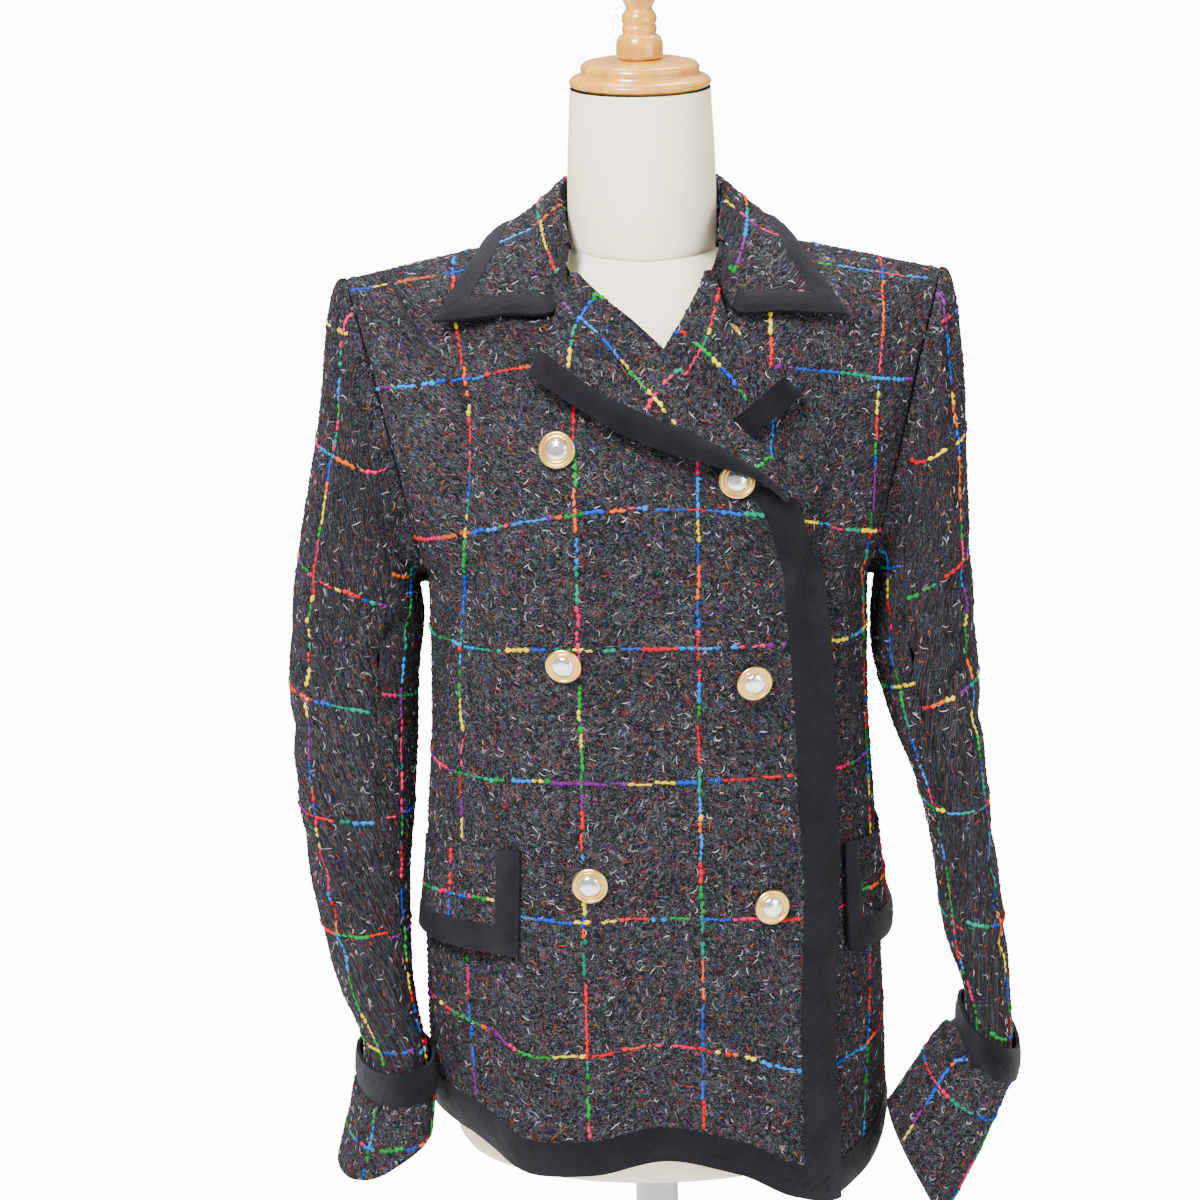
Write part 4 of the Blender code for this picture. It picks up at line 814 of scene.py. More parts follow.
# from the flap's front end (0) to its rear end (1)
RIGHT_FLAP = Table(
    "key turn top_z bottom_z stand_off",
    (0.0, -34.5, 437, 361, 3.0),
    (0.5, -57, 432, 356, 5.0),
    (1.0, -82, 422, 352, 5.5),
)
LEFT_FLAP = Table(
    "key turn top_z bottom_z stand_off",
    (0.0, 56, 426, 346, 2.5),
    (0.5, 74, 422, 341, 6.0),
    (1.0, 97, 418, 338, 9.0),
)
BUTTON_SEAT = 0.5  # its underside off the front
BUTTON_PLACES = (
    ("chest_right", right_front, -60, 732),
    ("waist_right", right_front, -60, 580),
    ("low_right", right_front, -45, 415),
    ("chest_left", right_front, 58, 711),
    ("waist_left", right_front, 70, 563),
    ("low_left", right_front, 81, 394),
    ("inner", left_front, 57, 804),
)

FLAP_CLEAR = 0.9  # its seam lies this far off the front
FLAP_TRIM_SHARE = 0.74  # the lower binding starts this far down
FLAP_SPANS = (25, 13)  # along it behind the binding, and down it above the binding


def row_for(turn, z):
    """The row where a turn reaches a height."""
    turn, z = np.broadcast_arrays(np.asarray(turn, float), np.asarray(z, float))
    return halved(np.zeros(turn.shape), 1, lambda r: body(turn, r)[..., 2] < z)


def flap_panel(table, surface, side):
    """A pocket flap, with lines for its binding's width at its front and lower edges."""
    trim = FLAP_TRIM / (RIGHT_FLAP_LENGTH if side < 0 else LEFT_FLAP_LENGTH)
    behind, above = (spans + 1 for spans in FLAP_SPANS)
    keys = np.concatenate([np.linspace(0, trim, TRIM_LINES), np.linspace(trim, 1, behind)[1:]])
    t = table.at(keys)
    upper = np.linspace(0, FLAP_TRIM_SHARE, above)
    shares = np.concatenate([upper, np.linspace(FLAP_TRIM_SHARE, 1, TRIM_LINES)[1:]])[:, None]
    turn = t.turn[None, :] + 0 * shares
    row = row_for(turn, t.top_z + (t.bottom_z - t.top_z) * shares)
    grid = surface(turn, row, WALL + FLAP_CLEAR + (t.stand_off - FLAP_CLEAR) * ease(shares * 0.8))
    return cloth(grid, -side, arcs(grid, 1), -arcs(grid, 0))


# ---- meshes


def add_mesh(name, points, faces, finish, uv=None, colours=None, sharp=50):
    """A smooth mesh object from points in millimetres. uv is each point's place on the cloth, colours are its
    yarn's, and edges turning by more than sharp degrees stay sharp."""
    mesh = bpy.data.meshes.new(name)
    mesh.from_pydata((np.asarray(points) * MM).tolist(), [], faces)
    if uv is not None:
        corners = np.empty(len(mesh.loops), np.int32)
        mesh.loops.foreach_get("vertex_index", corners)
        layer = mesh.uv_layers.new(name="cloth")
        layer.uv.foreach_set("vector", (np.asarray(uv)[corners] * MM).astype(np.float32).ravel())
    if colours is not None:
        layer = mesh.color_attributes.new(name="yarn", type="FLOAT_COLOR", domain="POINT")
        opaque = np.concatenate([colours, np.ones((len(colours), 1))], axis=1)
        layer.data.foreach_set("color", opaque.astype(np.float32).ravel())
    mesh.shade_smooth()
    if sharp:
        mesh.set_sharp_from_angle(angle=math.radians(sharp))
    mesh.materials.append(finish)
    made = bpy.data.objects.new(name, mesh)
    bpy.context.scene.collection.objects.link(made)
    return made


PUCKER = 0.5  # height of the small waves that the sewing draws a binding into
RIM_SHARES = (0.3, 0.5, 0.35)  # of a binding's height: at its rim, and what one and two cells from it add


def padding(panel, mask, over):
    """The height over a panel of a softly padded band: low at its rims, with small uneven puckers between."""
    inside = np.pad(mask, 1, constant_values=False)
    if panel.around:
        inside = np.pad(np.pad(mask, ((1, 1), (0, 0))), ((0, 0), (1, 1)), mode="wrap")
    full = inside[:-1, :-1] & inside[1:, :-1] & inside[:-1, 1:] & inside[1:, 1:]
    full = full[:, : panel.grid.shape[1]]
    wide = np.pad(full, 1, mode="edge")
    deep = full & wide[:-2, 1:-1] & wide[2:, 1:-1] & wide[1:-1, :-2] & wide[1:-1, 2:]
    run = 0.9 * panel.u + panel.v
    pucker = np.sin(0.52 * run + 1.9 * np.sin(0.11 * run)) * np.sin(0.23 * run + 0.9)
    rim, one, two = RIM_SHARES
    return over * (rim + one * full + two * deep) + PUCKER * pucker * deep


def slab(name, panel, over, under, finish, mask=None, out=0.0, padded_over=False):
    """A closed piece of cloth from over above a panel's face to under below it. mask picks the grid's cells,
    out moves the rim along the cloth, past its edge, and padded_over rounds its face."""
    grid, normals = panel.grid, panel.normals
    rows, columns = grid.shape[:2]
    spans = columns if panel.around else columns - 1
    if mask is None:
        mask = np.ones((rows - 1, spans), bool)
    if padded_over:
        over = padding(panel, mask, over)[..., None]
    top, bottom = grid + over * normals, grid - under * normals
    if out:
        rims = [((0, ALL), (1, ALL)), ((-1, ALL), (-2, ALL))]
        if not panel.around:
            rims += [((ALL, 0), (ALL, 1)), ((ALL, -1), (ALL, -2))]
        for lines, beside in rims:
            push = out * unit(grid[lines] - grid[beside])
            top[lines] += push
            bottom[lines] += push
    index = np.arange(rows * columns).reshape(rows, columns)
    if panel.around:
        index = np.concatenate([index, index[:, :1]], axis=1)
    a, b, c, d = index[:-1, :-1], index[:-1, 1:], index[1:, 1:], index[1:, :-1]
    layer = rows * columns
    face = np.stack([a, b, c, d], axis=-1)[mask]
    faces = [face, layer + face[:, ::-1]]
    padded = np.pad(mask, 1)
    above, below = padded[:-2, 1:-1], padded[2:, 1:-1]
    left, right = padded[1:-1, :-2], padded[1:-1, 2:]
    if panel.around:
        left, right = np.roll(mask, 1, axis=1), np.roll(mask, -1, axis=1)
    for beside, start, end in ((above, a, b), (right, b, c), (below, c, d), (left, d, a)):
        rim = mask & ~beside
        s, e = start[rim], end[rim]
        faces.append(np.stack([e, s, s + layer, e + layer], axis=-1))
    faces = np.concatenate(faces)
    if panel.outward < 0:
        faces = faces[:, ::-1]
    points = np.concatenate([top.reshape(-1, 3), bottom.reshape(-1, 3)])
    uv = panel.place.reshape(-1, 2)
    used = np.zeros(len(points), bool)
    used[faces.reshape(-1)] = True
    renumber = np.cumsum(used) - 1
    return add_mesh(name, points[used], renumber[faces].tolist(), finish, np.concatenate([uv, uv])[used])


def part_of(panel, lines):
    """The part of a panel within slices of its rows and columns."""
    kept = {name: getattr(panel, name)[lines] for name in ("grid", "normals", "u", "v", "place")}
    return SimpleNamespace(**kept, outward=panel.outward, around=panel.around)


def cells_of(panel):
    """A panel's grid, the steps across and down from each of its points, and the areas of its cells."""
    grid = np.concatenate([panel.grid, panel.grid[:, :1]], axis=1) if panel.around else panel.grid
    across, down = grid[:-1, 1:] - grid[:-1, :-1], grid[1:, :-1] - grid[:-1, :-1]
    return grid, across, down, np.linalg.norm(np.cross(across, down), axis=-1)


def area_of(panel, mask=None):
    """The area of a panel's face in square metres."""
    cells = cells_of(panel)[3]
    return float(cells.sum() if mask is None else cells[mask].sum()) * MM * MM


def tubes(name, paths, ups, half_width, half_height, sides, colours, finish):
    """Many short yarns as one mesh: each one's path, the upward directions along it and its half sizes."""
    count, sections = paths.shape[:2]
    along_it = unit(np.gradient(paths, axis=1))
    side = unit(np.cross(along_it, ups))
    angles = np.arange(sides) * 2 * math.pi / sides
    ring = (
        np.cos(angles)[:, None] * (side * half_width[..., None])[:, :, None, :]
        + np.sin(angles)[:, None] * (ups * half_height[..., None])[:, :, None, :]
    )
    points = (paths[:, :, None, :] + ring).reshape(-1, 3)
    k, after = np.arange(sides), (np.arange(sides) + 1) % sides
    one = np.arange(sections - 1)[:, None] * sides
    quad = np.stack([one + k, one + after, one + sides + after, one + sides + k], axis=-1).reshape(-1, 4)
    start = (np.arange(count) * sections * sides)[:, None, None]
    faces = (start + quad).reshape(-1, 4).tolist()
    faces += (start[:, :, 0] + k[::-1]).tolist()
    faces += (start[:, :, 0] + (sections - 1) * sides + k).tolist()
    colours = np.repeat(colours, sections * sides, axis=0)
    return add_mesh(name, points, faces, finish, colours=colours, sharp=None)


def take(piece, slot, *nodes):
    """The piece rides on the body and stands for the nodes; slot is not used."""
    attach(piece, BODY)
    if nodes:
        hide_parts(*nodes)
    return piece


# ---- bright yarns and loops

# each slub colour, and how often it comes
SLUB_COLOURS = (
    "red green blue share",
    (0.50, 0.0, 0.006, 5), (0.52, 0.0, 0.08, 4), (0.0, 0.045, 0.40, 5), (0.0, 0.15, 0.50, 4),
    (0.0, 0.20, 0.02, 6), (0.0, 0.18, 0.11, 4), (0.70, 0.52, 0.0, 5), (0.60, 0.075, 0.0, 3),
    (0.13, 0.007, 0.17, 2),
)
LOOP_COLOURS = (
    "red green blue share",
    (0.44, 0.40, 0.43, 10), (0.16, 0.145, 0.17, 9), (0.035, 0.035, 0.045, 9), (0.26, 0.20, 0.17, 2),
    (0.34, 0.03, 0.035, 3), (0.36, 0.08, 0.01, 3), (0.02, 0.13, 0.09, 3), (0.01, 0.05, 0.17, 2),
    (0.20, 0.02, 0.10, 2),
)


def picked(table, random, count):
    """Colours drawn from a table by their shares."""
    rows = np.array(table[1:])
    share = rows[:, 3] / rows[:, 3].sum()
    return rows[random.choice(len(rows), count, p=share), :3]


def lines_on(panel, field, value, axis):
    """The runs of points where a panel's u or v has a value, with their normals."""
    grid, normals = panel.grid, panel.normals
    if axis == 0:
        field, grid, normals = (np.swapaxes(part, 0, 1) for part in (field, grid, normals))
    off = field - value
    crosses = (off[:, 1:] * off[:, :-1]) <= 0
    has, at = crosses.any(axis=1), crosses.argmax(axis=1)
    row = np.arange(len(field))
    low, high = off[row, at], off[row, at + 1]
    t = np.where(has, low / np.where(low == high, 1, low - high), 0)[:, None]
    points = grid[row, at] * (1 - t) + grid[row, at + 1] * t
    ups = unit(normals[row, at] * (1 - t) + normals[row, at + 1] * t)
    runs, start = [], None
    for k in range(len(row) + 1):
        inside = k < len(row) and has[k]
        if inside and start is None:
            start = k
        if not inside and start is not None:
            if k - start > 3:
                runs.append((points[start:k], ups[start:k]))
            start = None
    return runs


SLUB_SECTIONS = 11
BEAD_LENGTH = (4.0, 6.5)
SLUB_HALF_WIDTH = (1.05, 2.1)
SLUB_FLATNESS = 0.65  # its height over its width
SLUB_BEND = (0.7, 0.35)  # how far it lies off its line, as a whole and from point to point
CLOSE_SHARE = 0.75  # of the slubs follow the last one by CLOSE_GAP, and the others by WIDE_GAP
CLOSE_GAP = (-0.8, 0.8)
FIRST_GAP = 4
LEAST_RUN = 5
WIDE_GAP = (2, 7)


def slubs_along(points, ups, random, shows):
    """Slubs one after the other along a line: each of a few beads, thin between them and at its ends."""
    steps = np.linalg.norm(np.diff(points, axis=0), axis=1)
    length = np.concatenate([[0], np.cumsum(steps)])
    share = np.linspace(0, 1, SLUB_SECTIONS)
    made = []
    at = random.uniform(0, FIRST_GAP)
    colour, left = None, 0
    while at < length[-1] - LEAST_RUN:
        if left <= 0:
            colour, left = picked(SLUB_COLOURS, random, 1)[0], random.integers(1, 3)
        beads = random.integers(1, 4)
        run = min(beads * random.uniform(*BEAD_LENGTH), length[-1] - at)
        where = at + run * share
        path = np.stack([np.interp(where, length, points[:, k]) for k in range(3)], axis=-1)
        up = unit(np.stack([np.interp(where, length, ups[:, k]) for k in range(3)], axis=-1))
        side = unit(np.cross(np.gradient(path, axis=0), up))
        bend = random.uniform(-SLUB_BEND[0], SLUB_BEND[0]) + random.normal(0, SLUB_BEND[1], SLUB_SECTIONS)
        swell = np.abs(np.sin(math.pi * (beads * share**1.1 + 0.04)))
        width = random.uniform(*SLUB_HALF_WIDTH) * (0.3 + 0.7 * swell)
        width = width * random.uniform(0.75, 1.2, SLUB_SECTIONS)
        width[[0, -1]] *= 0.45
        path = path + bend[:, None] * side + (0.55 * swell - 0.3)[:, None] * up
        if shows is None or shows(path.mean(axis=0)):
            made.append((path, up, width, colour * random.uniform(0.7, 1.15)))
        at += run + random.uniform(*(CLOSE_GAP if random.random() < CLOSE_SHARE else WIDE_GAP))
        left -= 1
    return made


def add_slubs(name, panel, across, down, random, finish, shows):
    """The bright slubs of a panel: lines at the places across, run down it, and at the places down."""
    made = []
    for place in across:
        for points, ups in lines_on(panel, panel.u, place, 1):
            made += slubs_along(points, ups, random, shows)
    for place in down:
        for points, ups in lines_on(panel, panel.v, place, 0):
            made += slubs_along(points, ups, random, shows)
    paths, ups, width, colours = (np.stack(part) for part in zip(*made))
    return take(tubes(name, paths, ups, width, width * SLUB_FLATNESS, 5, colours, finish), "tweed")


LOOP_SECTIONS = 4
LOOP_LENGTH = (2.5, 7.0)
LOOP_HALF_WIDTH = (0.26, 0.48)
LOOP_CURL = 1.8  # how far it turns from end to end, in radians, as a normal spread


def add_loops(name, panel, spacing, random, finish, shows):
    """Small curly loops of yarn scattered over a panel, one to each square of that spacing."""
    grid, across, down, cells = cells_of(panel)
    if shows is not None:
        cells = cells * shows(grid[:-1, :-1])
    count = int(cells.sum() / spacing**2)
    pick = random.choice(cells.size, count, p=(cells / cells.sum()).ravel())
    r, c = np.unravel_index(pick, cells.shape)
    s, t = random.random((2, count, 1))
    place = grid[r, c] + s * across[r, c] + t * down[r, c]
    up = panel.normals[r, c]
    first = unit(across[r, c])
    second = unit(np.cross(up, first))
    heading = np.where(random.random(count) < 0.5, 0, math.pi / 2) + random.normal(0, 0.6, count)
    length = random.uniform(*LOOP_LENGTH, count)
    curl = random.normal(0, LOOP_CURL, count)
    steps = np.linspace(-0.5, 0.5, LOOP_SECTIONS)[None, :]
    angle = heading[:, None] + curl[:, None] * steps
    step = length[:, None] / (LOOP_SECTIONS - 1)
    x, y = np.cumsum(step * np.cos(angle), axis=1), np.cumsum(step * np.sin(angle), axis=1)
    x, y = x - x.mean(axis=1, keepdims=True), y - y.mean(axis=1, keepdims=True)
    rise = (0.55 * np.cos(math.pi * steps) - 0.15) * random.uniform(0.6, 1.1, (count, 1))
    paths = (
        place[:, None, :]
        + x[..., None] * first[:, None, :]
        + y[..., None] * second[:, None, :]
        + rise[..., None] * up[:, None, :]
    )
    ups = np.broadcast_to(up[:, None, :], paths.shape)
    size = random.uniform(*LOOP_HALF_WIDTH, (count, 1)) * (0.6 + 0.4 * np.cos(math.pi * steps))
    colours = picked(LOOP_COLOURS, random, count) * random.uniform(0.5, 1.1, (count, 1))
    return take(tubes(name, paths, ups, size, size, 3, colours, finish), "tweed")


# the tints that thin strands in the ground take
TINTS = (
    "red green blue",
    (0.30, 0.03, 0.03), (0.22, 0.21, 0.21), (0.20, 0.10, 0.04), (0.10, 0.10, 0.115), (0.03, 0.13, 0.09),
    (0.24, 0.23, 0.24), (0.04, 0.07, 0.20), (0.14, 0.03, 0.09),
)


# ---- shader groups and materials


def shader_group(name, inputs, outputs):
    """An empty shader group with its sockets: (kind, name, default) going in and (kind, name) coming out."""
    group = bpy.data.node_groups.new(name, "ShaderNodeTree")
    for kind, label, default in inputs:
        socket = group.interface.new_socket(name=label, in_out="INPUT", socket_type="NodeSocket" + kind)
        socket.default_value = default
    for kind, label in outputs:
        group.interface.new_socket(name=label, in_out="OUTPUT", socket_type="NodeSocket" + kind)
    return group, group.nodes.new("NodeGroupInput"), group.nodes.new("NodeGroupOutput")


class Nodes:
    """Makes and joins the nodes of one tree."""

    def __init__(self, tree):
        self.tree = tree

    def add(self, kind, **settings):
        """A new node with these settings."""
        node = self.tree.nodes.new("ShaderNode" + kind)
        for key, value in settings.items():
            setattr(node, key, value)
        return node

    def join(self, source, target):
        """Links an output to an input, or gives the input a value."""
        if hasattr(source, "is_output"):
            self.tree.links.new(source, target)
        else:
            target.default_value = source

    def fill(self, node, **values):
        """A node with these inputs, named with underscores for spaces."""
        for label, value in values.items():
            self.join(value, node.inputs[label.replace("_", " ")])
        return node

    def run(self, node, *values):
        """A node's output once its first inputs have these values."""
        for value, socket in zip(values, node.inputs):
            self.join(value, socket)
        return node.outputs[0]

    def math(self, operation, *values):
        """The result of one operation."""
        return self.run(self.add("Math", operation=operation), *values)

    def span(self, value, low, high, to_low=0.0, to_high=1.0):
        """The value moved from one span to another and held within it."""
        return self.run(self.add("MapRange", clamp=True), value, low, high, to_low, to_high)

    def vector(self, x, y, z=0.0):
        """A vector of three parts."""
        return self.run(self.add("CombineXYZ"), x, y, z)

    def scaled(self, vector, scale):
        """A vector times a value."""
        return self.fill(self.add("VectorMath", operation="SCALE"), Vector=vector, Scale=scale).outputs[0]

    def moved(self, vector, by):
        """A vector plus another one."""
        return self.run(self.add("VectorMath", operation="ADD"), vector, by)

    def mix(self, share, low, high, blend="MIX"):
        """A mixed colour."""
        node = self.add("Mix", data_type="RGBA", blend_type=blend)
        for value, socket in zip((share, low, high), (node.inputs[0], node.inputs[6], node.inputs[7])):
            self.join(value, socket)
        return node.outputs[2]

    def noise(self, vector, scale, detail=2.0, rough=0.5):
        """A noise node at the vector's places."""
        return self.fill(self.add("TexNoise"), Vector=vector, Scale=scale, Detail=detail, Roughness=rough)

    def shade(self, colour, value, surface):
        """The colour times the value, as a surface's base colour."""
        shaded = self.mix(1.0, colour, self.vector(value, value, value), "MULTIPLY")
        self.join(shaded, surface.inputs["Base Color"])

    def sum(self, *values):
        """All the values added up."""
        total = values[0]
        for value in values[1:]:
            total = self.math("ADD", total, value)
        return total

    def times(self, first, second):
        """The product of two values."""
        return self.math("MULTIPLY", first, second)


def weave_group():
    """Threads crossing over and under: Height, a random Tone of each crossing and the Gap between threads."""
    group, into, out = shader_group(
        "Crossing threads",
        [("Vector", "Place", (0, 0, 0)), ("Float", "Threads per metre", 400.0), ("Float", "Waver", 0.3)],
        [("Float", "Height"), ("Float", "Tone"), ("Float", "Gap")],
    )
    n = Nodes(group)
    threads = n.scaled(into.outputs["Place"], into.outputs["Threads per metre"])
    waver = n.moved(n.noise(threads, 0.45).outputs["Color"], (-0.5, -0.5, -0.5))
    waver = n.scaled(waver, n.times(into.outputs["Waver"], 4.0))
    parts = n.add("SeparateXYZ")
    n.join(n.moved(threads, waver), parts.inputs[0])
    x, y = parts.outputs[:2]
    cell_x, cell_y = n.math("FLOOR", x), n.math("FLOOR", y)
    in_x, in_y = n.math("FRACT", x), n.math("FRACT", y)
    turn = n.math("MODULO", n.math("ABSOLUTE", n.math("ADD", cell_x, cell_y)), 2.0)
    round_x = n.math("SINE", n.times(in_x, math.pi))
    round_y = n.math("SINE", n.times(in_y, math.pi))
    over = n.times(n.math("POWER", round_x, 0.6), n.sum(0.55, n.times(round_y, 0.45)))
    under = n.times(n.math("POWER", round_y, 0.6), n.sum(0.55, n.times(round_x, 0.45)))
    height = n.add("Mix", data_type="FLOAT")
    for value, socket in zip((turn, over, under), (height.inputs[0], height.inputs[2], height.inputs[3])):
        n.join(value, socket)
    random = n.fill(n.add("TexWhiteNoise", noise_dimensions="2D"), Vector=n.vector(cell_x, cell_y))
    n.join(height.outputs[0], out.inputs["Height"])
    n.join(random.outputs["Value"], out.inputs["Tone"])
    n.join(n.span(height.outputs[0], 0.15, 0.6, 1.0, 0.0), out.inputs["Gap"])
    return group


def wear_group():
    """Soft unevenness of a hard finish: a Tone around 1, a Roughness and a Height of fine marks."""
    group, into, out = shader_group(
        "Handled finish",
        [("Vector", "Place", (0, 0, 0)), ("Float", "Scale", 40.0), ("Float", "Roughness", 0.3)],
        [("Float", "Tone"), ("Float", "Roughness"), ("Float", "Height")],
    )
    n = Nodes(group)
    place = n.scaled(into.outputs["Place"], into.outputs["Scale"])
    broad = n.noise(place, 1.0, 3.0)
    fine = n.noise(place, 9.0, 4.0, 0.7)
    n.join(n.span(broad.outputs[0], 0.3, 0.7, 0.9, 1.08), out.inputs["Tone"])
    low = n.times(into.outputs["Roughness"], 0.75)
    high = n.times(into.outputs["Roughness"], 1.4)
    n.join(n.span(fine.outputs[0], 0.35, 0.7, low, high), out.inputs["Roughness"])
    n.join(fine.outputs[0], out.inputs["Height"])
    return group


def start_material(name):
    """An empty material: its node helper and its Principled BSDF."""
    made = bpy.data.materials.new(name)
    made.use_nodes = True
    surface = made.node_tree.nodes["Principled BSDF"]
    return made, Nodes(made.node_tree), surface


def put_group(n, name, **values):
    """A shader group placed in a material with its own values."""
    return n.fill(n.add("Group", node_tree=bpy.data.node_groups[name]), **values)


def bump(n, height, surface, strength, distance):
    """The height as fine relief of the surface; the distance is in metres."""
    node = n.fill(n.add("Bump"), Strength=strength, Distance=distance, Height=height)
    n.join(node.outputs[0], surface.inputs["Normal"])


def rgba(colour):
    """A colour at full opacity."""
    return (*colour, 1.0)


def strands(n, place, scale, waver, width):
    """Thin curly lines where a noise passes its middle: 1 along them and 0 between."""
    curl = n.noise(place, scale, 1.0)
    n.join(waver, curl.inputs["Distortion"])
    off = n.math("ABSOLUTE", n.math("SUBTRACT", curl.outputs[0], 0.5))
    return n.span(off, 0.0, width, 1.0, 0.0)


def tweed_material(looks):
    """Charcoal boucle: uneven crossing threads under curly strands of grey and of many colours, with painted
    shade in the gaps between the threads.
    """
    made, n, surface = start_material("tweed boucle")
    place = n.add("UVMap", uv_map="cloth").outputs[0]
    threads = put_group(n, "Crossing threads", Place=place, Threads_per_metre=looks.threads, Waver=0.7)
    fibre = n.noise(place, 1100.0, 3.0, 0.7)
    patches = n.noise(place, 26.0, 3.0)
    tone = n.math("POWER", n.span(threads.outputs["Tone"], 0.1, 1.0), 2.0)
    colour = n.mix(tone, rgba(looks.dark_yarn), rgba(looks.light_yarn))
    # painted shade: where the threads dip lowest, the colour is darkened towards a near-black
    colour = n.mix(n.times(threads.outputs["Gap"], 0.85), colour, rgba(looks.gap_shade))
    grey = strands(n, place, 260.0, 1.2, 0.045)
    colour = n.mix(n.times(grey, 0.8), colour, rgba(looks.curl_yarn))
    tinted = strands(n, n.moved(place, (3.7, 1.9, 0.0)), 210.0, 1.6, 0.03)
    hue = n.add("ValToRGB")
    hue.color_ramp.interpolation = "CONSTANT"
    stops = hue.color_ramp.elements
    while len(stops) < len(TINTS) - 1:
        stops.new(1.0)
    for k, (red, green, blue) in enumerate(TINTS[1:]):
        stops[k].position, stops[k].color = 0.3 + 0.4 * k / (len(TINTS) - 1), (red, green, blue, 1)
    n.join(n.noise(place, 95.0, 1.0).outputs[0], hue.inputs[0])
    colour = n.mix(tinted, colour, hue.outputs[0])
    shade = n.span(fibre.outputs[0], 0.3, 0.7, 0.25, 1.75)
    shade = n.times(shade, n.span(patches.outputs[0], 0.3, 0.7, 0.85, 1.15))
    n.shade(colour, shade, surface)
    n.fill(surface, Roughness=0.95, Specular_IOR_Level=0.08)
    height = n.sum(n.times(threads.outputs["Height"], 0.8), n.times(grey, 0.9))
    height = n.sum(height, n.sum(tinted, n.times(fibre.outputs[0], 0.5)))
    bump(n, height, surface, 1.0, 0.0011)
    return made


def yarn_material():
    """Bright and pale yarn in the colours its mesh carries, with darker and paler fibres."""
    made, n, surface = start_material("fancy yarn")
    colour = n.add("Attribute", attribute_name="yarn").outputs["Color"]
    place = n.add("TexCoord").outputs["Object"]
    fibre = n.noise(place, 1500.0, 3.0, 0.6)
    shade = n.span(fibre.outputs[0], 0.3, 0.7, 0.6, 1.3)
    n.shade(colour, shade, surface)
    n.fill(surface, Roughness=0.85, Specular_IOR_Level=0.1)
    bump(n, fibre.outputs[0], surface, 0.6, 0.0004)
    return made


def binding_material(looks):
    """Plain satin: fine threads, a soft sheen and slight waves from its sewing, with painted highlights on
    the waves' crests and painted shade in their dips.
    """
    made, n, surface = start_material("satin binding")
    place = n.add("UVMap", uv_map="cloth").outputs[0]
    threads = put_group(n, "Crossing threads", Place=place, Threads_per_metre=2600.0, Waver=0.1)
    soft = n.noise(place, 45.0, 3.0)
    slub = n.noise(place, 600.0, 3.0, 0.65)
    # painted highlight and shade: the noise that raises the waves below also lightens the satin on their
    # crests and darkens it in their dips
    colour = n.mix(n.span(soft.outputs[0], 0.3, 0.7), rgba(looks.dark), rgba(looks.light))
    shade = n.span(slub.outputs[0], 0.32, 0.68, 0.45, 1.7)
    n.shade(colour, shade, surface)
    rough = n.span(slub.outputs[0], 0.3, 0.7, 0.5, 0.66)
    n.fill(surface, Roughness=rough, Specular_IOR_Level=0.13, Sheen_Weight=0.04, Sheen_Roughness=0.35)
    height = n.sum(n.times(soft.outputs[0], 6.0), threads.outputs["Height"], n.times(slub.outputs[0], 2.4))
    bump(n, height, surface, 0.9, 0.0004)
    return made


def linen_material(colour):
    """Ivory linen drawn over the form."""
    made, n, surface = start_material("ivory linen")
    place = n.add("UVMap", uv_map="cloth").outputs[0]
    threads = put_group(n, "Crossing threads", Place=place, Threads_per_metre=1500.0, Waver=0.2)
    soft = n.noise(place, 14.0, 3.0)
    by_thread = n.span(threads.outputs["Tone"], 0, 1, 0.97, 1.02)
    shade = n.times(n.span(soft.outputs[0], 0.3, 0.7, 0.97, 1.02), by_thread)
    n.shade(rgba(colour), shade, surface)
    n.fill(surface, Roughness=0.75, Sheen_Weight=0.1)
    bump(n, threads.outputs["Height"], surface, 0.35, 0.0002)
    return made


def wood_material(light, dark):
    """Honey coloured turned wood under clear lacquer; its grain runs up the turning."""
    made, n, surface = start_material("lacquered wood")
    place = n.add("TexCoord").outputs["Object"]
    stretched = n.fill(n.add("Mapping"), Vector=place, Scale=(1.0, 1.0, 0.16)).outputs[0]
    grain = n.noise(stretched, 130.0, 5.0, 0.6)
    pores = n.noise(stretched, 700.0, 3.0, 0.6)
    wear = put_group(n, "Handled finish", Place=place, Scale=45.0, Roughness=0.22)
    colour = n.mix(n.span(grain.outputs[0], 0.35, 0.7), rgba(light), rgba(dark))
    colour = n.mix(n.span(pores.outputs[0], 0.62, 0.75, 0.0, 0.5), colour, rgba(tuple(0.5 * c for c in dark)))
    n.shade(colour, wear.outputs["Tone"], surface)
    n.fill(surface, Roughness=wear.outputs["Roughness"], Coat_Weight=0.5, Coat_Roughness=0.08)
    bump(n, grain.outputs[0], surface, 0.15, 0.0003)
    return made


def metal_material(name, colour, roughness, scale):
    """Metal with handling marks."""
    made, n, surface = start_material(name)
    place = n.add("TexCoord").outputs["Object"]
    wear = put_group(n, "Handled finish", Place=place, Scale=scale, Roughness=roughness)
    n.shade(rgba(colour), wear.outputs["Tone"], surface)
    n.fill(surface, Roughness=wear.outputs["Roughness"], Metallic=1.0)
    bump(n, wear.outputs["Height"], surface, 0.12, 0.0002)
    return made


def crystal_material(colour):
    """Clear stone over silver foil."""
    made, n, surface = start_material("foiled stone")
    place = n.add("TexCoord").outputs["Object"]
    wear = put_group(n, "Handled finish", Place=place, Scale=400.0, Roughness=0.16)
    n.shade(rgba(colour), wear.outputs["Tone"], surface)
    n.fill(surface, Roughness=wear.outputs["Roughness"], Metallic=0.85, Coat_Weight=1.0, Coat_Roughness=0.03)
    return made


# ---- form and buttons

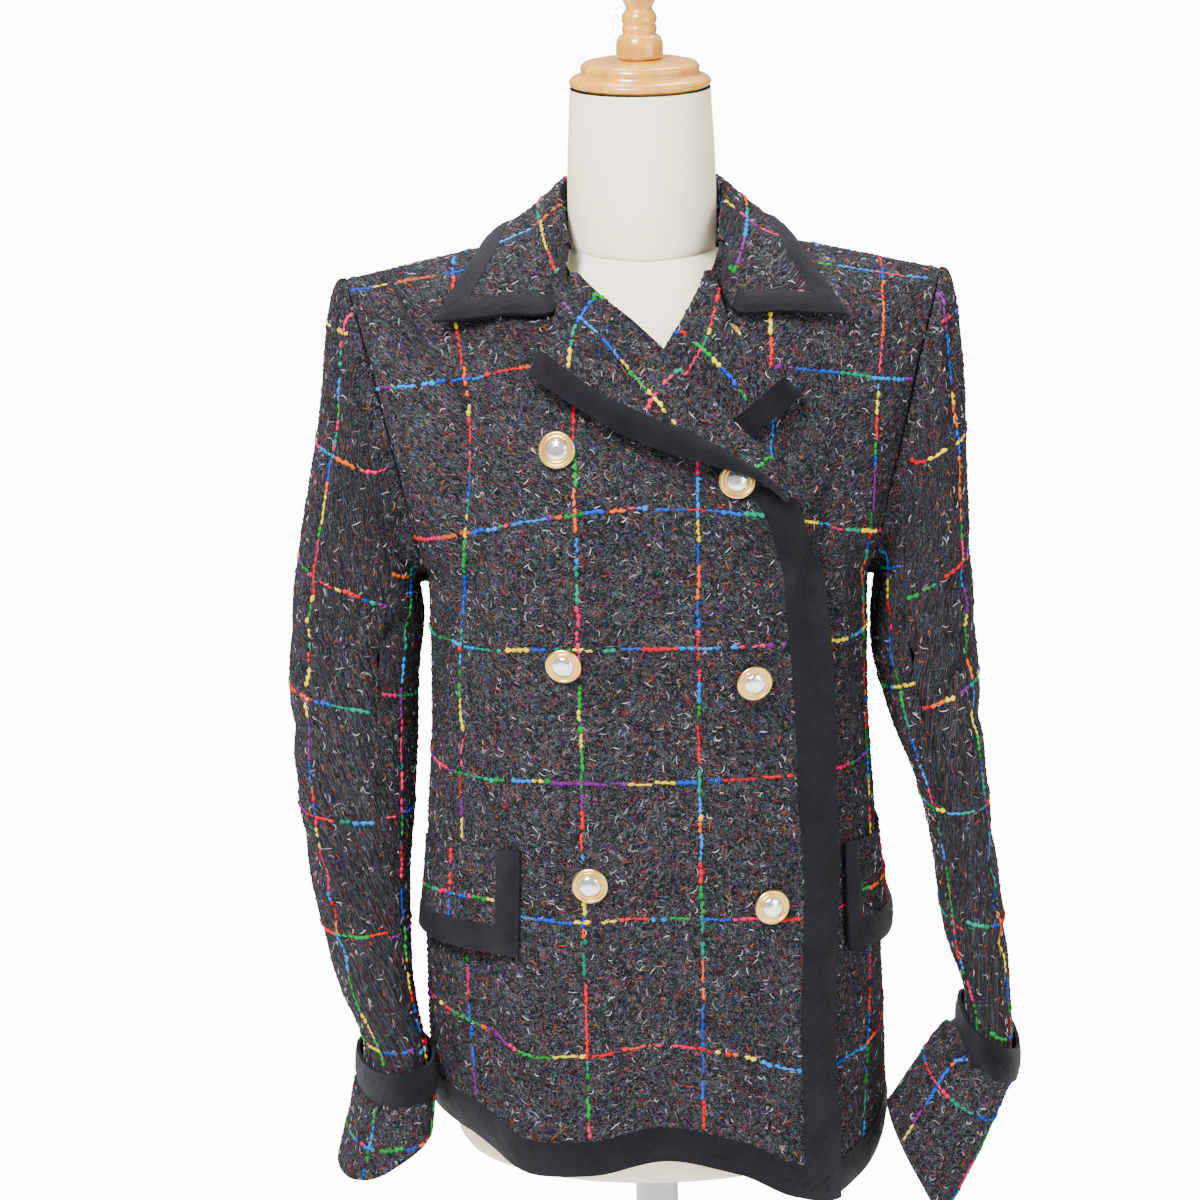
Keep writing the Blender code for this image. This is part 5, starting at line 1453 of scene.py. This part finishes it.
NECK_R = 52.0
NECK_Y = -2.0
NECK_JOIN = Table("angle z", (0, 850), (60, 853), (90, 858), (120, 861), (180, 866))
NECK = Table("z radius", (850, 52.5), (885, 52.5), (915, 52), (945, 50.5), (964, 49.5))
FORM_ROWS = np.linspace(0, 1, 90)
FORM_FOOT = ((197, 0.99), (190, 0.985), (184, 0.98), (180, 0.968), (176, 0.95), (174, 0.925), (172, 0.88))
NECK_ANGLES = np.concatenate([np.linspace(-90, -6, 14), [-1.4, 0, 1.4], np.linspace(6, 90, 14)])
SEAM_DEPTH = 0.5  # the form's seams: round the neck's foot and down the middle
OUTER_SHARES = np.linspace(0, 1, 25)[1:]  # of the way from the neck to a side
NECK_SHARES = (0.012, *np.linspace(0.04, 1, 24))  # heights of the neck's rings, the first just above its seam
NECK_ROW = 0.88  # from here up the form's middle rises into the neck
AROUND_FORM = 2.2  # width of the linen to each degree round the form
NECK_TOP = 964.6
CAP_BASE_Z = 964.65
# (radius, height) up each turned piece, over the neck's top
CAP = (
    (0, 0), (46, 0), (49.5, 2.3), (50, 5), (48, 7.5), (42.5, 9.5), (41.5, 11.5), (42, 14.5), (40, 17.5),
    (29, 20), (0, 20),
)
FINIAL = (
    (0, 20.4), (15.5, 20.4), (16.5, 22.4), (16.5, 31.4), (14.5, 35.9), (11.5, 37.4), (12.3, 39.4),
    (12.3, 42.4), (11.2, 43.9), (12.4, 46.4), (12.2, 50.4), (9.3, 54.4), (9.3, 55.9), (13, 63.4),
    (17.5, 72.4), (18.5, 80.4), (15, 89.4), (8, 94.4), (0, 95.8),
)
# above the row the coat rests on the form as far out as end_x, then lifts away within the fade
SHOULDER_REST = SimpleNamespace(row=0.92, rows=0.06, end_x=118.0, fade=50.0, clear=3.0)
LOOSE = SimpleNamespace(chest=9.5, more_at_hem=6.0, rows=0.3)  # room between the coat and the form elsewhere
# the form's shoulder line lies this far under the coat's, and drops further towards its end
RIDGE = SimpleNamespace(row=0.975, rows=0.025, clear=0.9, drop=4.0)


def past_rest(x):
    """0 where the coat rests on the form's shoulders, 1 past the fade."""
    return ease((np.abs(x) - SHOULDER_REST.end_x) / SHOULDER_REST.fade)


def form_clearance(point, row):
    """How far the form lies inside the coat's outer face: least on the shoulders, which carry the coat."""
    shoulder = ease((row - SHOULDER_REST.row) / SHOULDER_REST.rows) * (1 - past_rest(point[..., 0]))
    loose = LOOSE.chest + LOOSE.more_at_hem * (1 - ease(row / LOOSE.rows))
    return loose + (WALL + SHOULDER_REST.clear - loose) * shoulder


def form_half(sign):
    """Front (-1) or back (1) of the form up to the neck's foot, from -X to +X."""
    rows = FORM_ROWS[:, None]
    neck_turns = turn_at(NECK_R * np.sin(np.radians(NECK_ANGLES))[None, :], rows)
    side_turns = neck_turns[:, -1:] + (end_turn(rows) - neck_turns[:, -1:]) * OUTER_SHARES[None, :]
    turns = np.concatenate([-side_turns[:, ::-1], neck_turns, side_turns], axis=1)
    ridge = plain_body(turns[-1], 1.0)
    if sign > 0:
        turns = np.where(turns < 0, -1, 1) * (180 - np.abs(turns))
    skin = plain_body(turns, rows)
    normal = body_normal(turns, rows + 0 * turns)
    at_side = np.isclose(np.abs(turns), 90)
    normal = np.where(at_side[..., None], np.sign(skin) * np.array([1.0, 0, 0]), normal)
    grid = skin - form_clearance(skin, rows)[..., None] * normal
    ridge = ridge - (WALL + RIDGE.clear + RIDGE.drop * past_rest(ridge[:, :1])) * UP
    near = ease((rows - RIDGE.row) / RIDGE.rows)[..., None]
    grid = grid * (1 - near) + ridge[None] * near
    first, last = len(OUTER_SHARES), len(OUTER_SHARES) + len(NECK_ANGLES)
    angles = np.radians(NECK_ANGLES)
    around_neck = np.abs(NECK_ANGLES) if sign < 0 else 180 - np.abs(NECK_ANGLES)
    join_z = NECK_JOIN.at(around_neck).z
    join = stack(NECK_R * np.sin(angles), NECK_Y + sign * NECK_R * np.cos(angles), join_z)
    share = np.clip((rows - NECK_ROW) / (1 - NECK_ROW), 0, 1)[..., None]
    chest = int(np.argmax(FORM_ROWS >= NECK_ROW))
    rising = grid[chest, first:last] * (1 - share) + join[None] * share
    grid[chest:, first:last] = rising[chest:]
    middle = first + len(NECK_ANGLES) // 2
    grid[:, middle] -= SEAM_DEPTH * normal[:, middle]
    foot = [grid[0] * (share, share, 0) + UP * z for z, share in FORM_FOOT[::-1]]
    return np.concatenate([foot, grid[1:]])


def build_form(finish):
    """Torso and neck as one smooth skin."""
    halves = [form_half(-1), form_half(1)]
    first, last = len(OUTER_SHARES), len(OUTER_SHARES) + len(NECK_ANGLES) - 1
    rows, columns = halves[0].shape[:2]
    layer = rows * columns
    points = np.concatenate([half.reshape(-1, 3) for half in halves])
    index = np.arange(layer).reshape(rows, columns)
    a, b, c, d = index[:-1, :-1], index[:-1, 1:], index[1:, 1:], index[1:, :-1]
    front = np.stack([a, b, c, d], axis=-1).reshape(-1, 4)
    faces = [front, layer + front[:, ::-1]]
    for rim in (index[:, 0], index[::-1, -1], index[0, ::-1]):
        faces.append(np.stack([rim[:-1], rim[1:], layer + rim[1:], layer + rim[:-1]], axis=-1))
    ring = np.concatenate([index[-1, first : last + 1], layer + index[-1, first + 1 : last][::-1]])
    join = points[ring].copy()
    away = unit(join[:, :2] - np.array([0, NECK_Y]))
    points[ring, :2] -= SEAM_DEPTH * away
    for share in NECK_SHARES:
        height = join[:, 2] * (1 - share) + NECK_TOP * share
        radius = NECK.at(height).radius
        level = np.column_stack([radius * away[:, 0], NECK_Y + radius * away[:, 1], height])
        above = len(points) + np.arange(len(ring))
        points = np.concatenate([points, level])
        faces.append(np.stack([ring, np.roll(ring, -1), np.roll(above, -1), above], axis=-1))
        ring = above
    outer = index[-1]
    for part in (outer[: first + 1], outer[last:]):
        faces.append(np.stack([part[:-1], part[1:], layer + part[1:], layer + part[:-1]], axis=-1))
    around = np.degrees(np.arctan2(points[:, 0], -points[:, 1]))
    uv = np.column_stack([around * AROUND_FORM, points[:, 2]])
    made = add_mesh("form_skin", points, np.concatenate(faces).tolist(), finish, uv, sharp=70)
    return take(made, "linen", "form_torso")


def turned(name, profile, finish, sides=64, place=(0, 0, 0), axis=(0, 0, 1), facets=None, sharp=40):
    """A turned piece from (radius, height) pairs. facets turns every other ring by half a side, and joins the
    rings by triangles."""
    place, axis = np.array(place, float), unit(np.array(axis, float))
    side = unit(np.cross(axis, (0, 0, 1) if abs(axis[2]) < 0.9 else (0, -1, 0)))
    other = np.cross(axis, side)
    angles = np.arange(sides) * 2 * math.pi / sides
    points, faces = [], []
    for k, (radius, height) in enumerate(profile):
        turn = angles + (math.pi / sides if facets and k % 2 else 0)
        ring = np.cos(turn)[:, None] * side + np.sin(turn)[:, None] * other
        points.append(place + height * axis + max(radius, 0.02) * ring)
    for low in range(len(profile) - 1):
        for k in range(sides):
            m, base, over = (k + 1) % sides, low * sides, (low + 1) * sides
            if facets:
                if low % 2:
                    faces += [(base + k, over + m, over + k), (base + k, base + m, over + m)]
                else:
                    faces += [(base + k, base + m, over + k), (base + m, over + m, over + k)]
            else:
                faces.append((base + k, base + m, over + m, over + k))
    faces.append(tuple(range(sides))[::-1])
    faces.append(tuple((len(profile) - 1) * sides + k for k in range(sides)))
    return add_mesh(name, np.concatenate(points), faces, finish, sharp=sharp)


def rounded(profile, reach=0.3, steps=3):
    """A profile with its corners cut to short arcs."""
    points = np.array(profile, float)
    out = [points[0]]
    for before, at, after in zip(points, points[1:], points[2:]):
        cut = min(reach * np.linalg.norm(at - before), reach * np.linalg.norm(after - at))
        start = at + cut * unit(before - at)
        end = at + cut * unit(after - at)
        for t in np.linspace(0, 1, steps + 1):
            out.append((1 - t) ** 2 * start + 2 * t * (1 - t) * at + t * t * end)
    return [tuple(p) for p in out + [points[-1]]]


# ---- settings


def colour_setting(name, default, what):
    """A colour to set in the sidebar."""
    return bpy.props.FloatVectorProperty(
        name=name, description=what, default=default, size=3, subtype="COLOR", min=0, max=1
    )


def length_setting(name, default, what):
    """A length in metres to set in the sidebar."""
    return bpy.props.FloatProperty(name=name, description=what, default=default, unit="LENGTH")


class ClothSettings(bpy.types.PropertyGroup):
    """Tweed and its yarns."""

    threads: bpy.props.FloatProperty(
        name="Threads", description="Threads in each metre of the tweed", default=400.0, min=100
    )
    across: length_setting("Slubs across", 0.084, "Distance between the bright lines that run down")
    down: length_setting("Slubs down", 0.103, "Distance between the bright lines that run across")
    loop_spacing: length_setting("Loop spacing", 0.0078, "One curly loop to each square of this side")
    # painted shade: the colour that the gaps between the threads are darkened to
    gap_shade: colour_setting("Ground", (0.0015, 0.0015, 0.002), "Depth between the threads")
    dark_yarn: colour_setting("Dark yarn", (0.0055, 0.0055, 0.0075), "Most of the threads")
    light_yarn: colour_setting("Light yarn", (0.035, 0.034, 0.041), "The palest threads")
    curl_yarn: colour_setting("Curl yarn", (0.135, 0.115, 0.142), "Thin curly strands over the threads")


class TrimSettings(bpy.types.PropertyGroup):
    """Bindings, with a painted shade colour for the satin's dips and a painted highlight colour for its
    crests.
    """

    # painted shade: the satin's colour in the dips of its waves
    dark: colour_setting("Dark", (0.0012, 0.0011, 0.0028), "Satin in its dips")
    # painted highlight: the satin's colour on the crests of its waves
    light: colour_setting("Light", (0.0056, 0.0052, 0.0100), "Satin on its crests")


class StandSettings(bpy.types.PropertyGroup):
    """Form, stand and buttons."""

    linen: colour_setting("Linen", (0.88, 0.795, 0.585), "The form's cover")
    wood: colour_setting("Wood", (0.66, 0.31, 0.032), "Pale grain of the cap and finial")
    grain: colour_setting("Grain", (0.46, 0.185, 0.015), "Dark grain of the cap and finial")
    gold: colour_setting("Gold", (0.76, 0.47, 0.13), "Button metal")
    stone: colour_setting("Stone", (0.80, 0.81, 0.83), "Button centres")
    steel: colour_setting("Steel", (0.42, 0.41, 0.39), "Pole and foot")


class StageSettings(bpy.types.PropertyGroup):
    """Floor and light."""

    floor: colour_setting("Floor", (0.9, 0.9, 0.9), "Floor and backdrop")
    glow: bpy.props.FloatProperty(
        name="Floor glow", description="How far the floor shows above its light", default=12.0
    )
    key: bpy.props.FloatProperty(
        name="Key light", description="Power of the main light in watts", default=270.0, min=0
    )


SETTINGS = {
    "jacket_cloth": ClothSettings,
    "jacket_trim": TrimSettings,
    "jacket_stand": StandSettings,
    "jacket_stage": StageSettings,
}


# ---- operators


def finish_named(name):
    """The material with this name."""
    found = bpy.data.materials.get(name)
    if found is None:
        raise RuntimeError(f"{name} has to be made first")
    return found


class JACKET_OT_finishes(bpy.types.Operator):
    """Makes the shader groups and every material but the floor's"""

    bl_idname = "jacket.finishes"
    bl_label = "Finishes"

    def execute(self, context):
        scene = context.scene
        weave_group()
        wear_group()
        tweed_material(scene.jacket_cloth)
        yarn_material()
        binding_material(scene.jacket_trim)
        stand = scene.jacket_stand
        linen_material(stand.linen)
        wood_material(stand.wood, stand.grain)
        metal_material("gilt metal", stand.gold, roughness=0.33, scale=300.0)
        metal_material("brushed steel", stand.steel, roughness=0.38, scale=60.0)
        crystal_material(stand.stone)
        return {"FINISHED"}


def line_places(field, first, spacing):
    """Places first + k * spacing between the ends of a panel's u or v."""
    low, high = math.ceil((field.min() - first) / spacing), math.floor((field.max() - first) / spacing)
    return first + spacing * np.arange(low, high + 1)


# where the bright lines are: u of one that runs down the piece, and v of one across it
SLUB_DOWN = 592.0  # of every body panel
RIGHT_FRONT_LINE = -51.0
LEFT_FRONT_LINE = 87.0
BACK_LINE = 42.0
SLEEVE_LINE = SimpleNamespace(right=40.0, left=36.0, down=130.0)
CUFF_LINE = 88.0
SLEEVE_SPACING = (75.0, 92.0)  # between the lines down a sleeve, and across it
# all that a lapel, the collar (from its middle) and a flap have
RIGHT_LAPEL_LINES = ([44.0], [30.0, 112.0, 190.0])
LEFT_LAPEL_LINES = ([30.0], [20.0, 104.0])
COLLAR_LINES = ([52.0], np.array([-168, -84, 0, 84, 168]))
FLAP_LINES = ([66.0], [-38.0])
LAPPED_YARNS = 12.0  # the left front has its yarns this far in under the right one's edge
TRIM_UNDER = 0.25  # the binding's inner side under the tweed's
TRIM_OUT = 1.0  # how far it stands past the tweed's edge


def body_lines(context, panel, first):
    """Where the bright lines of a body panel are; first is one that runs down it."""
    settings = context.scene.jacket_cloth
    down = line_places(panel.v, SLUB_DOWN, settings.down / MM)
    return line_places(panel.u, first, settings.across / MM), down


def dress(context, name, panel, seed, rests_on, across, down, bare=None, shows=None):
    """A tweed piece and its yarns: the wall, its bright slubs at the places across and down it,
    and its loops. bare is the part without a binding, as rows and columns."""
    wall = take(slab(name + "_cloth", panel, 0, WALL, finish_named("tweed boucle")), "tweed", name)
    random = np.random.default_rng(seed)
    yarn = finish_named("fancy yarn")
    open_part = part_of(panel, bare) if bare else panel
    slubs = add_slubs(name + "_slubs", open_part, across, down, random, yarn, shows)
    spacing = context.scene.jacket_cloth.loop_spacing / MM
    yarns = [slubs, add_loops(name + "_loops", open_part, spacing, random, yarn, shows)]
    area = area_of(panel)
    return wall


def trim(name, panel, mask, width, rests_on):
    """A binding over some of a panel's cells, round its edge and up its inner face."""
    satin = finish_named("satin binding")
    made = slab(name + "_satin", panel, FACE_TRIM, WALL + TRIM_UNDER, satin, mask, TRIM_OUT, padded_over=True)
    take(made, "binding", name)
    area = area_of(panel, mask)
    return made


def band(panel, first_rows=0, last_rows=0, first_columns=0, last_columns=0):
    """A mask of the cells at a panel's edges."""
    rows, columns = panel.grid.shape[:2]
    mask = np.zeros((rows - 1, columns if panel.around else columns - 1), bool)
    mask[:first_rows] = True
    if last_rows:
        mask[-last_rows:] = True
    mask[:, :first_columns] = True
    if last_columns:
        mask[:, -last_columns:] = True
    return mask


class JACKET_OT_fronts(bpy.types.Operator):
    """Makes both fronts and their edge and hem bindings"""

    bl_idname = "jacket.fronts"
    bl_label = "Fronts"

    def execute(self, context):
        panel = front_panel(right_front, RIGHT_EDGE, -1)
        edge = band(panel, first_rows=CELLS, first_columns=CELLS)
        edge &= (panel.grid[:-1, :1, 2] < BREAK_Z) | band(panel, first_rows=CELLS)
        bare = (slice(CELLS, None), slice(CELLS, None))
        lines = body_lines(context, panel, RIGHT_FRONT_LINE)
        dress(context, "front_right", panel, 11, ["front_left"], *lines, bare)
        trim("edge_binding_right", panel, edge, HEM_TRIM, ["front_right"])
        panel = front_panel(left_front, LEFT_EDGE, 1)
        hem = band(panel, first_rows=CELLS)

        def shows(p):
            return p[..., 0] > RIGHT_EDGE.at(p[..., 2]).x - LAPPED_YARNS

        bare = (slice(CELLS, None), ALL)
        lines = body_lines(context, panel, LEFT_FRONT_LINE)
        dress(context, "front_left", panel, 12, ["form_torso"], *lines, bare, shows)
        trim("hem_binding_left", panel, hem, HEM_TRIM, ["front_left"])
        return {"FINISHED"}


class JACKET_OT_backs(bpy.types.Operator):
    """Makes both back panels and their hem bindings"""

    bl_idname = "jacket.backs"
    bl_label = "Backs"

    def execute(self, context):
        for name, side in (("right", -1), ("left", 1)):
            panel = back_panel(side)
            hem = band(panel, first_rows=CELLS)
            bare = (slice(CELLS, None), ALL)
            lines = body_lines(context, panel, BACK_LINE)
            dress(context, "back_" + name, panel, 20 + side, ["form_torso"], *lines, bare)
            trim("hem_binding_back_" + name, panel, hem, HEM_TRIM, ["back_" + name])
        return {"FINISHED"}


class JACKET_OT_sleeves(bpy.types.Operator):
    """Makes the sleeves, turned-back cuffs and cuff bindings"""

    bl_idname = "jacket.sleeves"
    bl_label = "Sleeves"

    def execute(self, context):
        apart, apart_down = SLEEVE_SPACING
        for name, table, side in (("right", RIGHT_SLEEVE, -1), ("left", LEFT_SLEEVE, 1)):
            top, under = sleeve_panels(table, side)
            first = getattr(SLEEVE_LINE, name)
            for piece, panel, seed in (("top", top, 31), ("under", under, 41)):
                across = line_places(panel.u, first, apart)
                down = line_places(panel.v, SLEEVE_LINE.down, apart_down)
                dress(context, f"{piece}_sleeve_{name}", panel, seed + side, ["front_" + name], across, down)
            panel = cuff_panel(table, side)
            across = line_places(panel.u, first, apart)
            rim, bare = band(panel, first_rows=CELLS), (slice(CELLS, None), ALL)
            under_it = ["top_sleeve_" + name]
            dress(context, "cuff_" + name, panel, 50 + side, under_it, across, [CUFF_LINE], bare)
            trim("cuff_binding_" + name, panel, rim, CUFF_TRIM, ["cuff_" + name])
        return {"FINISHED"}


class JACKET_OT_lapels(bpy.types.Operator):
    """Makes both lapels and their bindings"""

    bl_idname = "jacket.lapels"
    bl_label = "Lapels"

    def execute(self, context):
        rows = (
            ("right", RIGHT_LAPEL, RIGHT_EDGE, right_front, -1, RIGHT_LAPEL_LINES),
            ("left", LEFT_LAPEL, LEFT_EDGE, left_front, 1, LEFT_LAPEL_LINES),
        )
        for name, table, edge_table, surface, side, places in rows:
            panel = lapel_panel(table, edge_table, surface, side)
            edge = band(panel, last_columns=CELLS)
            bare = (ALL, slice(0, -CELLS))
            dress(context, "lapel_" + name, panel, 60 + side, ["front_" + name], *places, bare)
            trim("lapel_binding_" + name, panel, edge, LAPEL_TRIM, ["lapel_" + name])
        return {"FINISHED"}


class JACKET_OT_collar(bpy.types.Operator):
    """Makes the collar and its binding"""

    bl_idname = "jacket.collar"
    bl_label = "Collar"

    def execute(self, context):
        panel = collar_panel()
        edge = band(panel, first_rows=CELLS, last_rows=CELLS)
        edge[:, :FALL_LINE] = False
        edge |= band(panel, last_columns=COLLAR_SPANS)
        across, from_middle = COLLAR_LINES
        down = float(panel.v.max()) / 2 + from_middle
        bare = (slice(CELLS, -CELLS), slice(0, -COLLAR_SPANS))
        dress(context, "collar", panel, 70, ["front_right", "front_left"], across, down, bare)
        trim("collar_binding", panel, edge, COLLAR_TRIM, ["collar"])
        return {"FINISHED"}


class JACKET_OT_flaps(bpy.types.Operator):
    """Makes the pocket flaps and their bindings"""

    bl_idname = "jacket.flaps"
    bl_label = "Pocket flaps"

    def execute(self, context):
        rows = (("right", RIGHT_FLAP, right_front, -1), ("left", LEFT_FLAP, left_front, 1))
        for name, table, surface, side in rows:
            panel = flap_panel(table, surface, side)
            edge = band(panel, last_rows=CELLS, first_columns=CELLS)
            bare = (slice(0, -CELLS), slice(CELLS, None))
            dress(context, "flap_" + name, panel, 80 + side, ["front_" + name], *FLAP_LINES, bare)
            trim("flap_binding_" + name, panel, edge, FLAP_TRIM, ["flap_" + name])
        return {"FINISHED"}


# (radius, height) up each turned piece, over its seat
BUTTON = (
    (0, 0), (3, 0), (3.4, 0.7), (11.4, 0.7), (12.7, 1.4), (13, 2.2), (12.8, 3.2), (11.9, 4.0), (11.0, 4.0),
    (10.6, 3.5), (10.0, 3.4), (9.6, 3.9), (8.8, 4.0), (8.3, 3.9), (8.0, 3.4), (0, 3.3),
)
INNER_SIZE = (0.7, 0.6)  # the inner button's radius and height over those of the others
STONE = ((7.3, 3.5), (7.3, 4.4), (6.3, 5.2), (4.6, 5.9), (2.7, 6.3), (1.1, 6.4))


class JACKET_OT_buttons(bpy.types.Operator):
    """Makes the gilt buttons and their stones"""

    bl_idname = "jacket.buttons"
    bl_label = "Buttons"

    def execute(self, context):
        gilt, stone = finish_named("gilt metal"), finish_named("foiled stone")
        for name, surface, x, z in BUTTON_PLACES:
            turn, row = front_place(x, z)
            axis, place = body_normal(turn, row), surface(turn, row, BUTTON_SEAT)
            if name == "inner":
                small = [(INNER_SIZE[0] * r, INNER_SIZE[1] * h) for r, h in BUTTON]
                made = turned("inner_gilt_button", rounded(small), gilt, place=place, axis=axis)
                take(made, "gold", "button_inner")
                continue
            made = turned(f"{name}_gilt_button", rounded(BUTTON), gilt, place=place, axis=axis)
            take(made, "gold", "button_" + name)
            made = turned(f"{name}_cut_stone", STONE, stone, 12, place, axis, facets=True, sharp=5)
            take(made, "crystal", "stone_" + name)
        return {"FINISHED"}


class JACKET_OT_form(bpy.types.Operator):
    """Makes the linen form and the turned cap and finial, and puts steel on the pole and the foot"""

    bl_idname = "jacket.form"
    bl_label = "Form and stand"

    def execute(self, context):
        build_form(finish_named("ivory linen"))
        wood, steel = finish_named("lacquered wood"), finish_named("brushed steel")
        seat = (0, NECK_Y, CAP_BASE_Z)
        take(turned("cap_turning", rounded(CAP), wood, 96, seat), "wood", "neck_cap")
        take(turned("finial_turning", rounded(FINIAL, 0.4), wood, 64, seat), "wood", "finial")
        for node in ("pole", "base"):
            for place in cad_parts[node].material_slots:
                place.material = steel
        return {"FINISHED"}


# the camera looks along +Y and down, from the photograph's height
CAMERA_FAR = 2.6
CAMERA_DOWN = math.radians(16)
CAMERA_ROLL = math.radians(1.1)
CAMERA_AIM = (-0.035, -0.10, 0.62)
FRAME_WIDTH = 0.84  # what the frame's width takes in at the aim's distance
SENSOR = 36.0
SKY_LIGHT = 0.44
FLOOR_HALF = 2e4
FLOOR_DOWN = 0.0005  # metres under the foot
LAMPS_AIM = np.array((0, 0, 0.6))
# each lamp's place and size in metres, and its power over the key light's
LAMPS = (
    ("key", (-1.0, -1.6, 2.8), 0.8, 1.0),
    ("fill", (2.0, -1.8, 1.2), 1.6, 0.22),
    ("top", (0.2, 0.8, 2.6), 1.4, 0.4),
)


def put(made, right, high, back, place):
    """Links an object with its axes along right, high and back, at a place in metres."""
    rows = np.vstack([np.column_stack([right, high, back, place]), (0, 0, 0, 1)])
    made.matrix_world = Matrix(rows.tolist())
    bpy.context.scene.collection.objects.link(made)


def add_camera(scene):
    """The camera, rolled a little like the one that took the photograph."""
    look = np.array([0, math.cos(CAMERA_DOWN), -math.sin(CAMERA_DOWN)])
    high = np.array([0, math.sin(CAMERA_DOWN), math.cos(CAMERA_DOWN)])
    level = np.array([1.0, 0, 0])
    c, s = math.cos(CAMERA_ROLL), math.sin(CAMERA_ROLL)
    lens = bpy.data.cameras.new("camera")
    lens.sensor_width = SENSOR
    lens.lens = SENSOR * CAMERA_FAR / FRAME_WIDTH
    lens.clip_end = 100
    camera = bpy.data.objects.new("camera", lens)
    place = np.array(CAMERA_AIM) - CAMERA_FAR * look
    put(camera, c * level - s * high, s * level + c * high, -look, place)
    scene.camera = camera


def floor_material(stage):
    """Matt white that glows for the camera."""
    made, n, surface = start_material("matt floor")
    soft = n.noise(n.add("TexCoord").outputs["Object"], 3.0, 3.0)
    n.shade(rgba(stage.floor), n.span(soft.outputs[0], 0.3, 0.7, 0.985, 1.0), surface)
    shown = n.times(n.add("LightPath").outputs["Is Camera Ray"], stage.glow)
    n.fill(surface, Roughness=0.9, Emission_Color=(1.0, 1.0, 1.0, 1.0), Emission_Strength=shown)
    return made


def add_sky(scene):
    """Even light all round, which glows like the floor for the camera."""
    world = bpy.data.worlds.new("studio")
    world.use_nodes = True
    n = Nodes(world.node_tree)
    shown = n.times(n.add("LightPath").outputs["Is Camera Ray"], scene.jacket_stage.glow)
    backdrop = world.node_tree.nodes["Background"]
    n.fill(backdrop, Color=(1.0, 1.0, 1.0, 1.0), Strength=n.sum(shown, SKY_LIGHT))
    scene.world = world


def add_lamps(key):
    """The lamps, each turned to the coat."""
    for name, spot, size, share in LAMPS:
        light = bpy.data.lights.new(name, "AREA")
        light.size = size
        light.energy = share * key
        way = unit(LAMPS_AIM - np.array(spot))
        side = unit(np.cross(way, UP))
        put(bpy.data.objects.new(name, light), side, np.cross(side, way), -way, spot)


class JACKET_OT_stage(bpy.types.Operator):
    """Makes the floor, the lights and the camera"""

    bl_idname = "jacket.stage"
    bl_label = "Stage"

    def execute(self, context):
        scene = context.scene
        add_camera(scene)
        corners = [(x * FLOOR_HALF, y * FLOOR_HALF, 0) for x, y in ((-1, -1), (1, -1), (1, 1), (-1, 1))]
        floor = add_mesh("floor", corners, [(0, 1, 2, 3)], floor_material(scene.jacket_stage))
        floor.location.z = -FLOOR_DOWN
        add_sky(scene)
        add_lamps(scene.jacket_stage.key)
        return {"FINISHED"}


class JACKET_PT_panel(bpy.types.Panel):
    """Lists the jacket's pieces in the sidebar"""

    bl_label = "Jacket"
    bl_idname = "JACKET_PT_panel"
    bl_space_type = "VIEW_3D"
    bl_region_type = "UI"
    bl_category = "Jacket"

    def draw(self, context):
        for name, group in SETTINGS.items():
            box = self.layout.box()
            box.label(text=group.__doc__)
            for prop in group.__annotations__:
                box.prop(getattr(context.scene, name), prop)
        for step in OPERATORS:
            self.layout.operator(step.bl_idname)


OPERATORS = (
    JACKET_OT_finishes,
    JACKET_OT_stage,
    JACKET_OT_form,
    JACKET_OT_backs,
    JACKET_OT_fronts,
    JACKET_OT_sleeves,
    JACKET_OT_lapels,
    JACKET_OT_collar,
    JACKET_OT_flaps,
    JACKET_OT_buttons,
)
CLASSES = (*SETTINGS.values(), *OPERATORS, JACKET_PT_panel)


def register():
    """Registers the add-on's classes and its settings."""
    for made in CLASSES:
        bpy.utils.register_class(made)
    for name, group in SETTINGS.items():
        setattr(bpy.types.Scene, name, bpy.props.PointerProperty(type=group))


def unregister():
    """Takes the settings and classes away again."""
    for name in SETTINGS:
        delattr(bpy.types.Scene, name)
    for made in reversed(CLASSES):
        bpy.utils.unregister_class(made)


def main():
    """Registers the add-on and makes every piece in order."""
    register()
    for step in OPERATORS:
        group, name = step.bl_idname.split(".")
        getattr(getattr(bpy.ops, group), name)()


if __name__ == "__main__":
    main()
